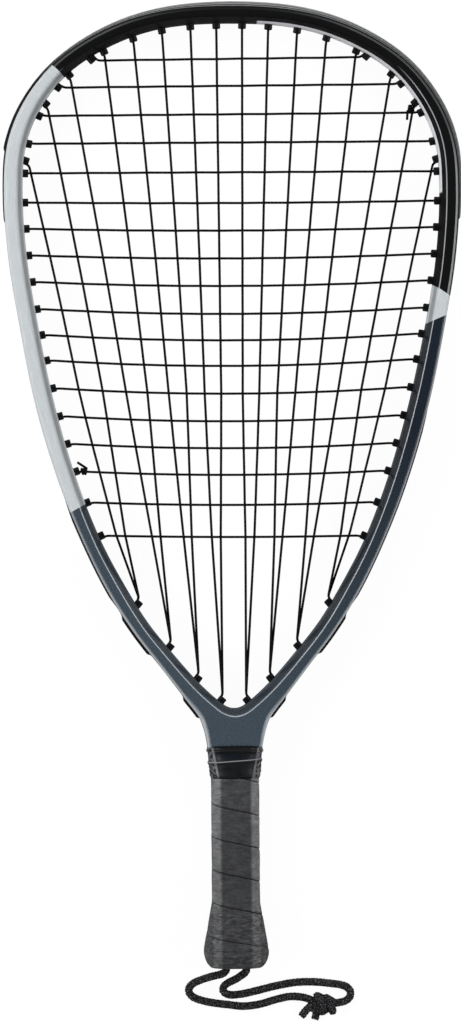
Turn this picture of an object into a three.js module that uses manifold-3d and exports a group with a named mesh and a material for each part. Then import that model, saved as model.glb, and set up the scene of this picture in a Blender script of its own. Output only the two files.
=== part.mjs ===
// Racquetball racket, in millimetres. It lies flat: +Y runs from the handle to the head,
// +X to the right and +Z up, square to the strings.
import * as THREE from 'three';
import { mergeVertices } from 'three/addons/utils/BufferGeometryUtils.js';
import Module from 'manifold-3d';

const wasm = await Module();
wasm.setup();

// Clearances shared by all pieces
const gap = 0.3;
const overrun = 1;
const stringGap = 0.7;

// Overall sizes
const handleLength = 127;
const throatLength = 22.9;
const headLength = 396.4;
const headWidth = 242.8;
const tubeWidth = 10.8;
const tubeDepth = 23;
const bumperThickness = 3.5;

// Frame tube section
const innerEdgeHeight = 8;
const innerBevel = 4.2;
const outerBevel = 1.4;
const outerEdgeHeight = 18;
const spanSteps = 2;
const stationMarginShare = 0.2;
const halvings = 40;

// String groove round the outside of the frame, and the plastic channel that lies in it
const grooveDepth = 3;
const grooveWidth = 8.3;
const channelBase = 0.8;
const channelWidth = 5.7;
const stripLip = 0.6;
const stripLipWidth = 10;
const guardLip = 0.9;
const guardLipWidth = 12;
const bumperWidth = 17;
const stripJoint = 1;
const guardReach = 4;

// Grommet barrels
const barrelDiameter = 4.6;
const barrelProud = 3.2;
const barrelSides = 6;
const barrelTiltShare = 0.2;
const sharedBarrelShare = 1.35;

// String
const stringDiameter = 1.3;
const stringSides = 4;
const barrelLead = 0.8;
const runGap = 0.6;
const runStep = 8;
const laneLead = 2.6;
const laneOffset = 1.9;
const crossBow = 3.5;
const crossingPasses = 4;
const tieTurns = 0.75;
const tieTurnSteps = 8;
const tieTail = 4;
const gapCheckStep = 1;
const gapCheckReach = 6;

// Handle
const shaftWidth = 31.4;
const tenonWidth = 18;
const tenonDepth = 14;
const tenonBevel = 2;
const tenonWall = 1.8;
const collarLength = 17;
const gripWidth = 27.8;
const gripDepth = 26.5;
const gripBevel = 6.15;
const tapeThickness = 1.8;
const tapePitch = 19;
const tapeSeam = 0.5;
const tapeSeamHeight = 52;
const flareLength = 38;
const flareGrowth = 4.9;
const flareDepthShare = 0.5;
const finishingTapeThickness = 0.6;
const finishingTapeWidth = 10;
const collarWidth = 31.9;
const collarDepth = 27.4;
const collarEndWidth = 28.6;
const collarEndDepth = 27;
const collarRibHeight = 0.7;
const collarRibWidth = 1.6;
const collarRibShares = [0.1, 0.3, 0.88];

// Butt cap
const capLipHeight = 10.5;
const capSkirtHeight = 28;
const capSeatHeight = 16;
const capFloor = 3;
const capCavityWidth = 20;
const capCavityDepth = 12;
const capRounding = 7;
const capRoundingSteps = 3;
const capEndInset = 4.8;
const capBarDiameter = 5.2;
const capBarHeight = 6.5;

// Staples
const stapleThickness = 0.5;
const stapleWire = 1.2;
const stapleWidth = 10;
const stapleLeg = 3.4;
const stapleHeight = 22;

// Wrist cord
const cordDiameter = 4.9;
const cordSides = 8;
const cordHoleSpacing = 11.6;
const cordStep = 8;
const bightSteps = 6;
const knotWidth = 17.8;
const knotLength = 13.4;
const knotHeight = 9.2;
const knotSides = 10;
const knotRows = 6;

// The inside of the head, from the top to the bottom of the V: half width and height as shares
// of the head's half width and length, the tube's width as a share of tubeWidth
const outlineShares = [
  [0, 1, 0.833], [0.326, 0.9927, 0.815], [0.569, 0.9682, 0.843], [0.7825, 0.9266, 0.852],
  [0.919, 0.8722, 0.921], [0.985, 0.8187, 0.972], [1, 0.7506, 1], [0.98, 0.6548, 0.986],
  [0.9325, 0.5666, 0.972], [0.851, 0.4501, 0.995], [0.7405, 0.3333, 0.954],
  [0.629, 0.2456, 0.917], [0.5156, 0.1793, 0.972], [0.4102, 0.1266, 0.944],
  [0.2965, 0.0825, 0.972], [0.167, 0.0371, 1.13], [0.068, 0.0093, 1.426],
  [0.03, 0.0018, 2.07], [0, 0, 2.07],
];
// Direction of the tube's outer wall at each of those points, in degrees from +Y towards +X
const outlineLeans = [
  0, 12.5, 24.6, 42.4, 59.8, 79, 90, 95.4, 102, 106.7, 113.5, 121, 124, 131.8, 129.6, 135,
  131.6, 145.7, 180,
];

// Where the strings pass the inner wall, as shares of the head's half width or length
const topHoleShares = [0.062, 0.188, 0.327, 0.468, 0.611, 0.78, 0.894, 0.9942];
const bottomHoleShares = [0.068, 0.18, 0.312, 0.462];
const crossHoleShares = [
  0.9536, 0.9125, 0.8697, 0.827, 0.7827, 0.7393, 0.7007, 0.6616, 0.6225, 0.5825, 0.5444,
  0.5071, 0.4662, 0.4251, 0.3845, 0.3439, 0.298, 0.2489,
];
const mainMiddleShares = [0.046, 0.1236, 0.2084, 0.2924, 0.3921, 0.4909, 0.6005, 0.7117];
const mainLowerShares = [0.0519, 0.0947, 0.1895, 0.2282, 0.3369, 0.3773, 0.5033, 0.5453];
const mainMiddleHeightShare = 0.45;
const mainLowerHeightShare = 0.25;
const bumperEndShare = 0.713;

// Heights above the butt end
const headBottom = handleLength + throatLength;
const headTop = headBottom + headLength;
const overallLength = headTop + tubeWidth * outlineShares[0][2] + bumperThickness;
const axisHeight = gripDepth / 2 + flareGrowth * flareDepthShare;
const halfHead = headWidth / 2;
const stringRadius = stringDiameter / 2;
const up = new THREE.Vector3(0, 0, 1);

const racket = new THREE.Group();
const body = new THREE.Group();
body.position.set(0, -overallLength / 2, axisHeight);
racket.add(body);

const finishes = {
  lacquer: { color: 0x2b2f36, roughness: 0.25, metalness: 0.1 },
  nylon: { color: 0x0d0d0f, roughness: 0.55, metalness: 0 },
  string: { color: 0x050505, roughness: 0.4, metalness: 0 },
  foam: { color: 0x8a7f68, roughness: 0.9, metalness: 0 },
  plastic: { color: 0x17181a, roughness: 0.6, metalness: 0 },
  grip: { color: 0x3a3b3e, roughness: 0.9, metalness: 0 },
  rubber: { color: 0x0a0a0b, roughness: 0.7, metalness: 0 },
  steel: { color: 0xa0a2a5, roughness: 0.35, metalness: 1 },
  cord: { color: 0x08080a, roughness: 0.85, metalness: 0 },
};

function addPiece(parent, name, geometry, finish) {
  const material = new THREE.MeshStandardMaterial(finishes[finish]);
  const mesh = new THREE.Mesh(geometry, material);
  mesh.name = name;
  parent.add(mesh);
}

// Solids from geometry, and back
function solidOf(geometry) {
  const bare = new THREE.BufferGeometry();
  bare.setAttribute('position', geometry.getAttribute('position').clone());
  bare.setIndex(geometry.getIndex());
  const merged = mergeVertices(bare);
  return new wasm.Manifold(new wasm.Mesh({
    numProp: 3,
    vertProperties: Float32Array.from(merged.getAttribute('position').array),
    triVerts: Uint32Array.from(merged.getIndex().array),
  }));
}

function geometryOf(solid) {
  const mesh = solid.getMesh();
  const geometry = new THREE.BufferGeometry();
  geometry.setAttribute('position', new THREE.BufferAttribute(mesh.vertProperties, 3));
  geometry.setIndex(new THREE.BufferAttribute(mesh.triVerts, 1));
  return geometry;
}

function signedArea(points) {
  return THREE.ShapeUtils.area(points);
}

function endFaces(outline) {
  const faces = THREE.ShapeUtils.triangulateShape(outline, []);
  const sign = Math.sign(signedArea(outline));
  return faces.map(([a, b, c]) => {
    const same = Math.sign(signedArea([outline[a], outline[b], outline[c]])) === sign;
    return same ? [a, b, c] : [a, c, b];
  });
}

// A closed skin through rings of points. A loop joins its last ring to its first, and any other
// skin is closed with two flat ends, whose faces come from the outline of the section.
function loft(rings, outline) {
  const count = rings[0].length;
  const positions = rings.flat().flatMap((point) => point.toArray());
  const spans = outline ? rings.length - 1 : rings.length;
  const index = [];
  for (let i = 0; i < spans; i += 1) {
    const a = i * count;
    const b = ((i + 1) % rings.length) * count;
    for (let j = 0; j < count; j += 1) {
      const k = (j + 1) % count;
      index.push(a + j, b + j, b + k, a + j, b + k, a + k);
    }
  }
  if (outline) {
    const last = (rings.length - 1) * count;
    endFaces(outline).forEach(([a, b, c]) => {
      index.push(a, b, c, last + a, last + c, last + b);
    });
  }
  const geometry = new THREE.BufferGeometry();
  geometry.setAttribute('position', new THREE.Float32BufferAttribute(positions, 3));
  geometry.setIndex(index);
  return facingOut(geometry);
}

function facingOut(geometry) {
  const points = geometry.getAttribute('position');
  const index = geometry.getIndex().array;
  const [a, b, c] = [new THREE.Vector3(), new THREE.Vector3(), new THREE.Vector3()];
  let volume = 0;
  for (let i = 0; i < index.length; i += 3) {
    a.fromBufferAttribute(points, index[i]);
    b.fromBufferAttribute(points, index[i + 1]);
    c.fromBufferAttribute(points, index[i + 2]);
    volume += a.dot(b.cross(c));
  }
  if (volume < 0) {
    for (let i = 0; i < index.length; i += 3) {
      [index[i], index[i + 1]] = [index[i + 1], index[i]];
    }
  }
  return geometry;
}

// The hoop's inner and outer walls. A place round it is a share of the whole loop, 0 at the top,
// positive to the right and negative to the left, half at the bottom of the V.
function wallPoints(widthShare) {
  const right = outlineShares.map(([x, y, width], i) => {
    const lean = THREE.MathUtils.degToRad(outlineLeans[i]);
    const across = tubeWidth * width * widthShare;
    return new THREE.Vector3(
      x * halfHead + Math.sin(lean) * across,
      headBottom + y * headLength + Math.cos(lean) * across,
      0,
    );
  });
  const left = right.slice(1, -1).reverse().map((p) => new THREE.Vector3(-p.x, p.y, 0));
  return [...right, ...left];
}

const innerWall = new THREE.CatmullRomCurve3(wallPoints(0), true, 'centripetal');
const outerWall = new THREE.CatmullRomCurve3(wallPoints(1), true, 'centripetal');
const stationCount = innerWall.points.length * spanSteps;

function tubeStation(place) {
  const t = (place + 1) % 1;
  const inner = innerWall.getPoint(t);
  const out = outerWall.getPoint(t).sub(inner);
  const width = out.length();
  return { place, inner, out: out.normalize(), width };
}

function stationsBetween(start, end) {
  const places = [start];
  for (let i = -stationCount; i <= stationCount; i += 1) {
    const place = i / stationCount;
    const margin = stationMarginShare / stationCount;
    if (place > start + margin && place < end - margin) places.push(place);
  }
  return [...places, end].map(tubeStation);
}

function sectionRing(station, section) {
  return section.map(([across, height]) => station.inner.clone()
    .addScaledVector(station.out, across)
    .addScaledVector(up, height));
}

function sweepAlongWall(start, end, sectionAt) {
  const stations = stationsBetween(start, end);
  const outline = sectionAt(stations[0]).map(([x, y]) => new THREE.Vector2(x, y));
  return loft(stations.map((station) => sectionRing(station, sectionAt(station))), outline);
}

function mirrored(half) {
  return [...half, ...half.slice().reverse().map(([x, z]) => [x, -z])];
}

function tubeSection({ width }) {
  return mirrored([
    [0, innerEdgeHeight / 2], [innerBevel, tubeDepth / 2],
    [width - outerBevel, tubeDepth / 2], [width, outerEdgeHeight / 2],
  ]);
}

// Places on the inner wall by their half width or height
function placeWhere(test, low, high) {
  let [a, b] = [low, high];
  for (let i = 0; i < halvings; i += 1) {
    const middle = (a + b) / 2;
    if (test(innerWall.getPoint(middle))) a = middle;
    else b = middle;
  }
  return (a + b) / 2;
}

function shiftPlace(place, distance) {
  const step = 1 / (stationCount * 2);
  const ahead = tubeStation(place + step).inner;
  const behind = tubeStation(place - step).inner;
  return place + distance * step * 2 / ahead.distanceTo(behind);
}

const widestRow = outlineShares.findIndex(([x]) => x === 1);
const widestPlace = widestRow / innerWall.points.length;

function topPlace(halfWidthShare) {
  return placeWhere((p) => p.x < halfWidthShare * halfHead, 0, widestPlace);
}

function bottomPlace(halfWidthShare) {
  return placeWhere((p) => p.x > halfWidthShare * halfHead, widestPlace, 1 / 2);
}

function heightPlace(heightShare) {
  return placeWhere((p) => p.y > headBottom + heightShare * headLength, 0, 1 / 2);
}

// Holes through the tube. Each has a frame of its own at the inner wall, with Y along the hole
// and out of the hoop.
function makeHole(place, stringDirection, shared = false) {
  const station = tubeStation(place);
  const axis = station.out.clone().multiplyScalar(1 - barrelTiltShare)
    .addScaledVector(stringDirection, -barrelTiltShare).normalize();
  const slant = axis.dot(station.out);
  const matrix = new THREE.Matrix4().makeBasis(axis.clone().cross(up), axis, up);
  matrix.setPosition(station.inner);
  const runDepth = station.width - grooveDepth + gap + channelBase + runGap + stringRadius;
  const along = axis.dot(innerWall.getTangent((place + 1) % 1));
  return {
    place,
    station,
    axis,
    matrix,
    shared,
    run: runDepth / slant,
    outPlace: shiftPlace(place, along * runDepth / slant),
  };
}

function mainDirection(i, fromTop) {
  const height = fromTop ? mainMiddleHeightShare : mainLowerHeightShare;
  const shares = fromTop ? mainMiddleShares : mainLowerShares;
  const x = shares[i] * halfHead;
  return (start) => new THREE.Vector3(x, headBottom + height * headLength, 0).sub(start).normalize();
}

function mirrorVector(v) {
  return new THREE.Vector3(-v.x, v.y, v.z);
}

function holePair(place, direction, sharedRight, sharedLeft) {
  return {
    right: makeHole(place, direction, sharedRight),
    left: makeHole(-place, mirrorVector(direction), sharedLeft),
  };
}

const tiedMain = topHoleShares.length - 2;
const tiedCross = crossHoleShares.length - 3;

const topHoles = topHoleShares.map((share, i) => {
  const place = topPlace(share);
  const direction = mainDirection(i, true)(innerWall.getPoint(place));
  return holePair(place, direction, i === tiedMain, false);
});
const bottomHoles = bottomHoleShares.map((share, i) => {
  const place = bottomPlace(share);
  const direction = mainDirection(i * 2, false)(innerWall.getPoint(place));
  return holePair(place, direction, true, true);
});
const crossHoles = crossHoleShares.map((share, i) => {
  const inward = new THREE.Vector3(-1, 0, 0);
  return holePair(heightPlace(share), inward, false, i === tiedCross);
});

function prismAlong(hole, radius, from, to) {
  const prism = new THREE.CylinderGeometry(radius, radius, to - from, barrelSides);
  const stretch = hole.shared ? sharedBarrelShare : 1;
  prism.scale(1, 1, stretch);
  prism.translate(0, (from + to) / 2, 0);
  return solidOf(prism.applyMatrix4(hole.matrix));
}

function boreAlong(hole, from, to) {
  const across = stringDiameter + gap * 2;
  const high = hole.shared ? across + stringDiameter + stringGap : across;
  const bore = new THREE.BoxGeometry(across, to - from, high);
  bore.translate(0, (from + to) / 2, 0);
  return solidOf(bore.applyMatrix4(hole.matrix));
}

const allHoles = [...topHoles, ...bottomHoles, ...crossHoles].flatMap((pair) => [pair.right, pair.left]);

// Plastic channels: a base and two walls in the groove, with a lip over the tube's outer face
function channelSection(lipThickness, lipWidth) {
  return ({ place, width }) => {
    const bottom = width - grooveDepth + gap;
    const lip = width + gap + lipThickness(place);
    const wall = grooveWidth / 2 - gap;
    return mirrored([
      [bottom, wall], [width + gap, wall], [width + gap, lipWidth / 2],
      [lip, lipWidth / 2], [lip, channelWidth / 2], [bottom + channelBase, channelWidth / 2],
    ]);
  };
}

function channelSpace(start, end) {
  return solidOf(sweepAlongWall(start, end, ({ width }) => mirrored([
    [width - grooveDepth + gap + channelBase, channelWidth / 2],
    [width + bumperThickness + overrun, channelWidth / 2],
  ])));
}

function channelWithBarrels(start, end, section) {
  let solid = solidOf(sweepAlongWall(start, end, section));
  const holes = allHoles.filter(({ place }) => place > start && place < end);
  holes.forEach((hole) => {
    solid = solid.add(prismAlong(hole, barrelDiameter / 2, -barrelProud, hole.run));
  });
  solid = solid.subtract(channelSpace(start, end));
  holes.forEach((hole) => {
    solid = solid.subtract(boreAlong(hole, -barrelProud - overrun, hole.run + overrun));
  });
  return geometryOf(solid);
}

const bumperEnd = heightPlace(bumperEndShare);
const stripStart = shiftPlace(bumperEnd, stripJoint);
const bumperTaper = (place) => {
  const reach = Math.min(1, Math.abs(place) / bumperEnd);
  return (bumperThickness - gap) * (1 - reach * reach) + stripLip * reach * reach;
};

function guardSpan(upper, lower) {
  return [shiftPlace(upper.right.place, -guardReach), shiftPlace(lower.right.place, guardReach)];
}

const upperGuard = guardSpan(bottomHoles[3], bottomHoles[2]);
const lowerGuard = guardSpan(bottomHoles[1], bottomHoles[0]);
const stripEnd = shiftPlace(upperGuard[0], -stripJoint);

// Frame: the hoop with its V, the shaft below it and the tenon inside the handle
function handleRing(y, halfWidth, halfDepth, bevel) {
  const corners = [
    [halfWidth, halfDepth - bevel], [halfWidth - bevel, halfDepth],
    [bevel - halfWidth, halfDepth], [-halfWidth, halfDepth - bevel],
    [-halfWidth, bevel - halfDepth], [bevel - halfWidth, -halfDepth],
    [halfWidth - bevel, -halfDepth], [halfWidth, bevel - halfDepth],
  ];
  return corners.map(([x, z]) => new THREE.Vector3(x, y, z));
}

function handleLoft(rows) {
  const rings = rows.map((row) => handleRing(...row));
  return loft(rings, rings[0].map((p) => new THREE.Vector2(p.x, p.z)));
}

// The grip's outline at a height, drawn in by an inset. The flare is read at a height of its own,
// so that a straight piece keeps one outline all the way.
const bevelDraw = 2 - Math.SQRT2;

function gripRow(y, inset, flareHeight = y) {
  const reach = (flareLength - flareHeight) / (flareLength - capLipHeight);
  const growth = flareGrowth * Math.max(0, reach);
  const depthGrowth = growth * flareDepthShare;
  const bevel = gripBevel + ((growth + depthGrowth) / 2 - inset) * bevelDraw;
  return [y, gripWidth / 2 + growth - inset, gripDepth / 2 + depthGrowth - inset, bevel];
}

function straightGrip(from, to, inset) {
  return solidOf(handleLoft([gripRow(from, inset, flareLength), gripRow(to, inset, flareLength)]));
}

function frameTube() {
  const rings = stationsBetween(0, 1 - 1 / stationCount)
    .map((station) => sectionRing(station, tubeSection(station)));
  let solid = solidOf(loft(rings));
  const shaftTop = headBottom - innerBevel - overrun;
  const shoulder = handleLength + gap;
  const shaft = handleLoft([
    [shaftTop, shaftWidth / 2, tubeDepth / 2, outerBevel],
    [shoulder, shaftWidth / 2, tubeDepth / 2, outerBevel],
  ]);
  const tenonEnd = capSeatHeight + gap;
  const tenon = handleLoft([
    [shoulder + overrun, tenonWidth / 2, tenonDepth / 2, tenonBevel],
    [tenonEnd, tenonWidth / 2, tenonDepth / 2, tenonBevel],
  ]);
  solid = solid.add(solidOf(shaft)).add(solidOf(tenon));
  const boreWidth = tenonWidth / 2 - tenonWall * 1.5;
  [-1, 1].forEach((side) => {
    const boreLength = shoulder - tenonEnd + overrun;
    const bore = new THREE.BoxGeometry(boreWidth, boreLength, tenonDepth - tenonWall * 2);
    bore.translate(side * (boreWidth + tenonWall) / 2, (shoulder + tenonEnd - overrun) / 2, 0);
    solid = solid.subtract(solidOf(bore));
  });
  [[-stripEnd, stripEnd], upperGuard, lowerGuard, mirrorSpan(upperGuard), mirrorSpan(lowerGuard)]
    .forEach(([start, end]) => {
      solid = solid.subtract(grooveCutter(start, end));
    });
  allHoles.forEach((hole) => {
    solid = solid.subtract(prismAlong(hole, barrelDiameter / 2 + gap, -overrun, hole.run + overrun));
  });
  return geometryOf(solid);
}

function mirrorSpan([start, end]) {
  return [-end, -start];
}

function grooveCutter(start, end) {
  const from = shiftPlace(start, -gap);
  const to = shiftPlace(end, gap);
  return solidOf(sweepAlongWall(from, to, ({ width }) => mirrored([
    [width - grooveDepth, grooveWidth / 2], [width + overrun * 2, grooveWidth / 2],
  ])));
}

addPiece(body, 'frame_tube', frameTube(), 'lacquer');
addPiece(body, 'bumper_guard',
  channelWithBarrels(-bumperEnd, bumperEnd, channelSection(bumperTaper, bumperWidth)), 'nylon');
const sides = [['right', (span) => span], ['left', mirrorSpan]];
sides.forEach(([side, toSide]) => {
  const strip = channelSection(() => stripLip, stripLipWidth);
  const guard = channelSection(() => guardLip, guardLipWidth);
  addPiece(body, `grommet_strip_${side}`,
    channelWithBarrels(...toSide([stripStart, stripEnd]), strip), 'nylon');
  addPiece(body, `upper_throat_guard_${side}`,
    channelWithBarrels(...toSide(upperGuard), guard), 'nylon');
  addPiece(body, `lower_throat_guard_${side}`,
    channelWithBarrels(...toSide(lowerGuard), guard), 'nylon');
});

// The string: one length, woven through all the holes and tied off at both ends
const pairHeight = (stringDiameter + stringGap) / 2;

function alongHole(hole, distance, height) {
  return hole.station.inner.clone().addScaledVector(hole.axis, distance).setZ(height);
}

function throughHole(hole, height, outward) {
  const inside = alongHole(hole, -barrelProud - barrelLead, height);
  const outside = alongHole(hole, hole.run, height);
  return outward ? [inside, outside] : [outside, inside];
}

function sharedHeight(hole, sign) {
  return hole.shared ? sign * pairHeight : 0;
}

// Which of a pair lies higher in their shared hole: the one that lies higher at the last cross
function pairSign(side, i) {
  return (i % 2 ? -1 : 1) * (side === 'right' ? 1 : -1);
}

function outsideRun(from, to, lane, level = 0) {
  const length = alongHole(from, from.run, 0).distanceTo(alongHole(to, to.run, 0));
  const steps = Math.max(2, Math.round(length / runStep));
  const shares = Array.from({ length: steps - 1 }, (_, i) => (i + 1) / steps);
  if (lane || level) {
    shares.unshift(laneLead / length);
    shares.push(1 - laneLead / length);
  }
  return shares.map((share) => {
    const station = tubeStation(from.outPlace + (to.outPlace - from.outPlace) * share);
    const base = station.width - grooveDepth + gap + channelBase;
    const across = base + runGap + stringRadius + level;
    return station.inner.clone().addScaledVector(station.out, across).setZ(lane);
  });
}

function holesBetween(holes, from, to, side) {
  const [low, high] = [from.place, to.place].sort((a, b) => a - b);
  return holes.some((pair) => pair[side].place > low && pair[side].place < high);
}

function mainLine(i) {
  const top = throughHole(topHoles[i].right, 0, true)[0];
  const bottom = throughHole(bottomHoles[Math.floor(i / 2)].right, 0, true)[0];
  return [
    top,
    new THREE.Vector3(mainMiddleShares[i] * halfHead, headBottom + mainMiddleHeightShare * headLength, 0),
    new THREE.Vector3(mainLowerShares[i] * halfHead, headBottom + mainLowerHeightShare * headLength, 0),
    bottom,
  ];
}

const mainLines = topHoleShares.map((_, i) => mainLine(i));

function mainX(i, y) {
  const line = mainLines[i];
  const next = Math.max(1, line.findIndex((point) => point.y <= y));
  const [a, b] = [line[next - 1], line[next]];
  return a.x + (b.x - a.x) * (y - a.y) / (b.y - a.y);
}

const crossEnds = crossHoles.map(({ right }) => throughHole(right, 0, true)[0]);
const firstBowed = 4;

function crossY(k, x) {
  const reach = Math.max(0, (k - firstBowed) / (crossEnds.length - firstBowed));
  const share = x / crossEnds[k].x;
  return crossEnds[k].y - crossBow * Math.sin(Math.PI * reach) * (1 - share * share);
}

function crossing(k, i, side) {
  let y = crossEnds[k].y;
  for (let pass = 0; pass < crossingPasses; pass += 1) y = crossY(k, mainX(i, y));
  const sign = side === 'right' ? 1 : -1;
  const column = side === 'right' ? i : -1 - i;
  const over = Math.abs((column + k) % 2) === 0 ? 1 : -1;
  return { point: new THREE.Vector3(sign * mainX(i, y), y, 0), over };
}

function crosses(k, i) {
  return crossEnds[k].y < mainLines[i][0].y && mainX(i, crossEnds[k].y) < crossEnds[k].x;
}

function mainPass(side, i, down) {
  const sign = pairSign(side, i);
  const top = topHoles[i][side];
  const bottom = bottomHoles[Math.floor(i / 2)][side];
  const woven = crossEnds.map((_, k) => k).filter((k) => crosses(k, i)).map((k) => {
    const { point, over } = crossing(k, i, side);
    return point.setZ(-over * pairHeight);
  });
  const points = [
    ...throughHole(top, sharedHeight(top, -1), false),
    ...woven,
    ...throughHole(bottom, sharedHeight(bottom, sign), true),
  ];
  return down ? points : points.reverse();
}

function crossPass(k, toRight) {
  const { left, right } = crossHoles[k];
  const half = (side) => topHoles.map((_, i) => i).filter((i) => crosses(k, i)).map((i) => {
    const { point, over } = crossing(k, i, side);
    return point.setZ(over * pairHeight);
  });
  const points = [
    ...throughHole(left, sharedHeight(left, -1), false),
    ...half('left').reverse(),
    ...half('right'),
    ...throughHole(right, 0, true),
  ];
  return toRight ? points : points.reverse();
}

// The mains of one side, from the outermost to the middle
const mainOrder = [7, 5, 6, 4, 3, 1, 2, 0];

function sideMains(side) {
  return mainOrder.flatMap((i, n) => {
    const down = n % 2 === 0;
    const pass = mainPass(side, i, down);
    if (n === 0) return pass;
    const before = mainOrder[n - 1];
    if (down) {
      const [from, to] = [topHoles[before][side], topHoles[i][side]];
      const lane = holesBetween(crossHoles, from, to, side) ? -laneOffset : 0;
      return [...outsideRun(from, to, lane), ...pass];
    }
    const [from, to] = [bottomHoles[Math.floor(before / 2)][side], bottomHoles[Math.floor(i / 2)][side]];
    return [...outsideRun(from, to, pairSign(side, i) * pairHeight), ...pass];
  });
}

function crossWeave() {
  return crossHoles.flatMap((hole, k) => {
    const pass = crossPass(k, k % 2 === 0);
    if (k === 0) return pass;
    const side = k % 2 ? 'right' : 'left';
    const [from, to] = [crossHoles[k - 1][side], hole[side]];
    const lane = holesBetween(topHoles, from, to, side) ? laneOffset : 0;
    return [...outsideRun(from, to, lane), ...pass];
  });
}

// A hitch round the string that shares the hole, ending in a short tail
function tieOff(own, next, start, turning) {
  const axis = next.clone().sub(own).normalize();
  const first = start.clone().sub(own).projectOnPlane(axis).normalize();
  const second = first.clone().cross(axis).multiplyScalar(turning);
  const points = [];
  for (let n = 1; n <= tieTurns * tieTurnSteps; n += 1) {
    const turn = n / tieTurnSteps;
    const angle = turn * Math.PI * 2;
    points.push(own.clone().addScaledVector(axis, stringRadius + gap + turn * pairHeight * 2)
      .addScaledVector(first, Math.cos(angle) * pairHeight * 2)
      .addScaledVector(second, Math.sin(angle) * pairHeight * 2));
  }
  const last = points[points.length - 1];
  const away = last.clone().sub(own).projectOnPlane(axis).normalize();
  return [...points, last.clone().addScaledVector(away, tieTail)];
}

function stringPath() {
  const firstTie = throughHole(topHoles[tiedMain].right, pairHeight, true);
  const tiedLine = mainPass('right', tiedMain, true);
  const firstKnot = tieOff(tiedLine[1], tiedLine[2], firstTie[0], 1);
  const lastHole = crossHoles[tiedCross].left;
  const lastTie = throughHole(lastHole, pairHeight, false);
  const tiedRow = crossPass(tiedCross, true);
  const lastKnot = tieOff(tiedRow[1], tiedRow[2], lastTie[1], -1);
  const outerTop = topHoles[topHoles.length - 1];
  const lastCross = crossHoles[crossHoles.length - 1];
  return [
    ...firstKnot.reverse(),
    ...firstTie,
    ...outsideRun(topHoles[tiedMain].right, outerTop.right, laneOffset),
    ...sideMains('right'),
    ...outsideRun(topHoles[0].right, topHoles[0].left, 0),
    ...sideMains('left').reverse(),
    ...outsideRun(outerTop.left, crossHoles[0].left, 0, pairHeight * 2),
    ...crossWeave(),
    ...outsideRun(lastCross.left, lastHole, laneOffset),
    ...lastTie,
    ...lastKnot,
  ];
}

function tubeThrough(points, radius, sides) {
  const directions = points.slice(1).map((point, i) => point.clone().sub(points[i]).normalize());
  const tangents = points.map((_, i) => {
    const before = directions[Math.max(0, i - 1)];
    const after = directions[Math.min(directions.length - 1, i)];
    return before.clone().add(after).normalize();
  });
  let normal = up.clone().projectOnPlane(tangents[0]).normalize();
  const rings = points.map((point, i) => {
    normal = normal.clone().projectOnPlane(tangents[i]).normalize();
    const side = tangents[i].clone().cross(normal);
    return Array.from({ length: sides }, (_, n) => {
      const angle = n / sides * Math.PI * 2;
      return point.clone().addScaledVector(normal, Math.cos(angle) * radius)
        .addScaledVector(side, Math.sin(angle) * radius);
    });
  });
  const outline = Array.from({ length: sides }, (_, n) => {
    const angle = n / sides * Math.PI * 2;
    return new THREE.Vector2(Math.cos(angle), Math.sin(angle));
  });
  return loft(rings, outline);
}

// The least gap of a tube to itself, measured on points along it
function leastGap(points, diameter) {
  const samples = [];
  let travelled = 0;
  points.slice(1).forEach((point, i) => {
    const length = points[i].distanceTo(point);
    const steps = Math.ceil(length / gapCheckStep);
    for (let n = 0; n < steps; n += 1) {
      const share = n / steps;
      samples.push({ at: points[i].clone().lerp(point, share), along: travelled + length * share });
    }
    travelled += length;
  });
  const cells = new Map();
  const key = (at, dx, dy) => {
    const x = Math.floor(at.x / gapCheckReach) + dx;
    const y = Math.floor(at.y / gapCheckReach) + dy;
    return `${x},${y}`;
  };
  samples.forEach((sample) => {
    const cell = key(sample.at, 0, 0);
    if (!cells.has(cell)) cells.set(cell, []);
    cells.get(cell).push(sample);
  });
  let least = Infinity;
  samples.forEach((sample) => {
    for (let dx = -1; dx <= 1; dx += 1) {
      for (let dy = -1; dy <= 1; dy += 1) {
        (cells.get(key(sample.at, dx, dy)) || []).forEach((other) => {
          if (other.along - sample.along < gapCheckReach) return;
          least = Math.min(least, sample.at.distanceTo(other.at) - diameter);
        });
      }
    }
  });
  return least;
}

const stringPoints = stringPath();
console.log(`Least gap of the string to itself: ${leastGap(stringPoints, stringDiameter).toFixed(2)} mm`);
addPiece(body, 'string', tubeThrough(stringPoints, stringRadius, stringSides), 'string');

// Handle: two pallets round the tenon, the cap at the butt and the staples that hold it
const palletInset = tapeThickness + gap;
const palletEnd = capSeatHeight + gap;

function stapleSolid(side, clearance) {
  const top = gripRow(stapleHeight + stapleWire / 2, palletInset)[2] + clearance;
  const wire = stapleWire + clearance * 2;
  const thickness = stapleThickness + clearance * 2;
  const crown = new THREE.BoxGeometry(stapleWidth + clearance * 2, wire, thickness);
  crown.translate(0, stapleHeight, side * (top - thickness / 2));
  let solid = solidOf(crown);
  [-1, 1].forEach((end) => {
    const leg = new THREE.BoxGeometry(thickness, wire, stapleLeg + clearance * 2);
    const across = (stapleWidth - stapleThickness) / 2;
    leg.translate(end * across, stapleHeight, side * (top - stapleLeg / 2 - clearance));
    solid = solid.add(solidOf(leg));
  });
  return solid;
}

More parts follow.
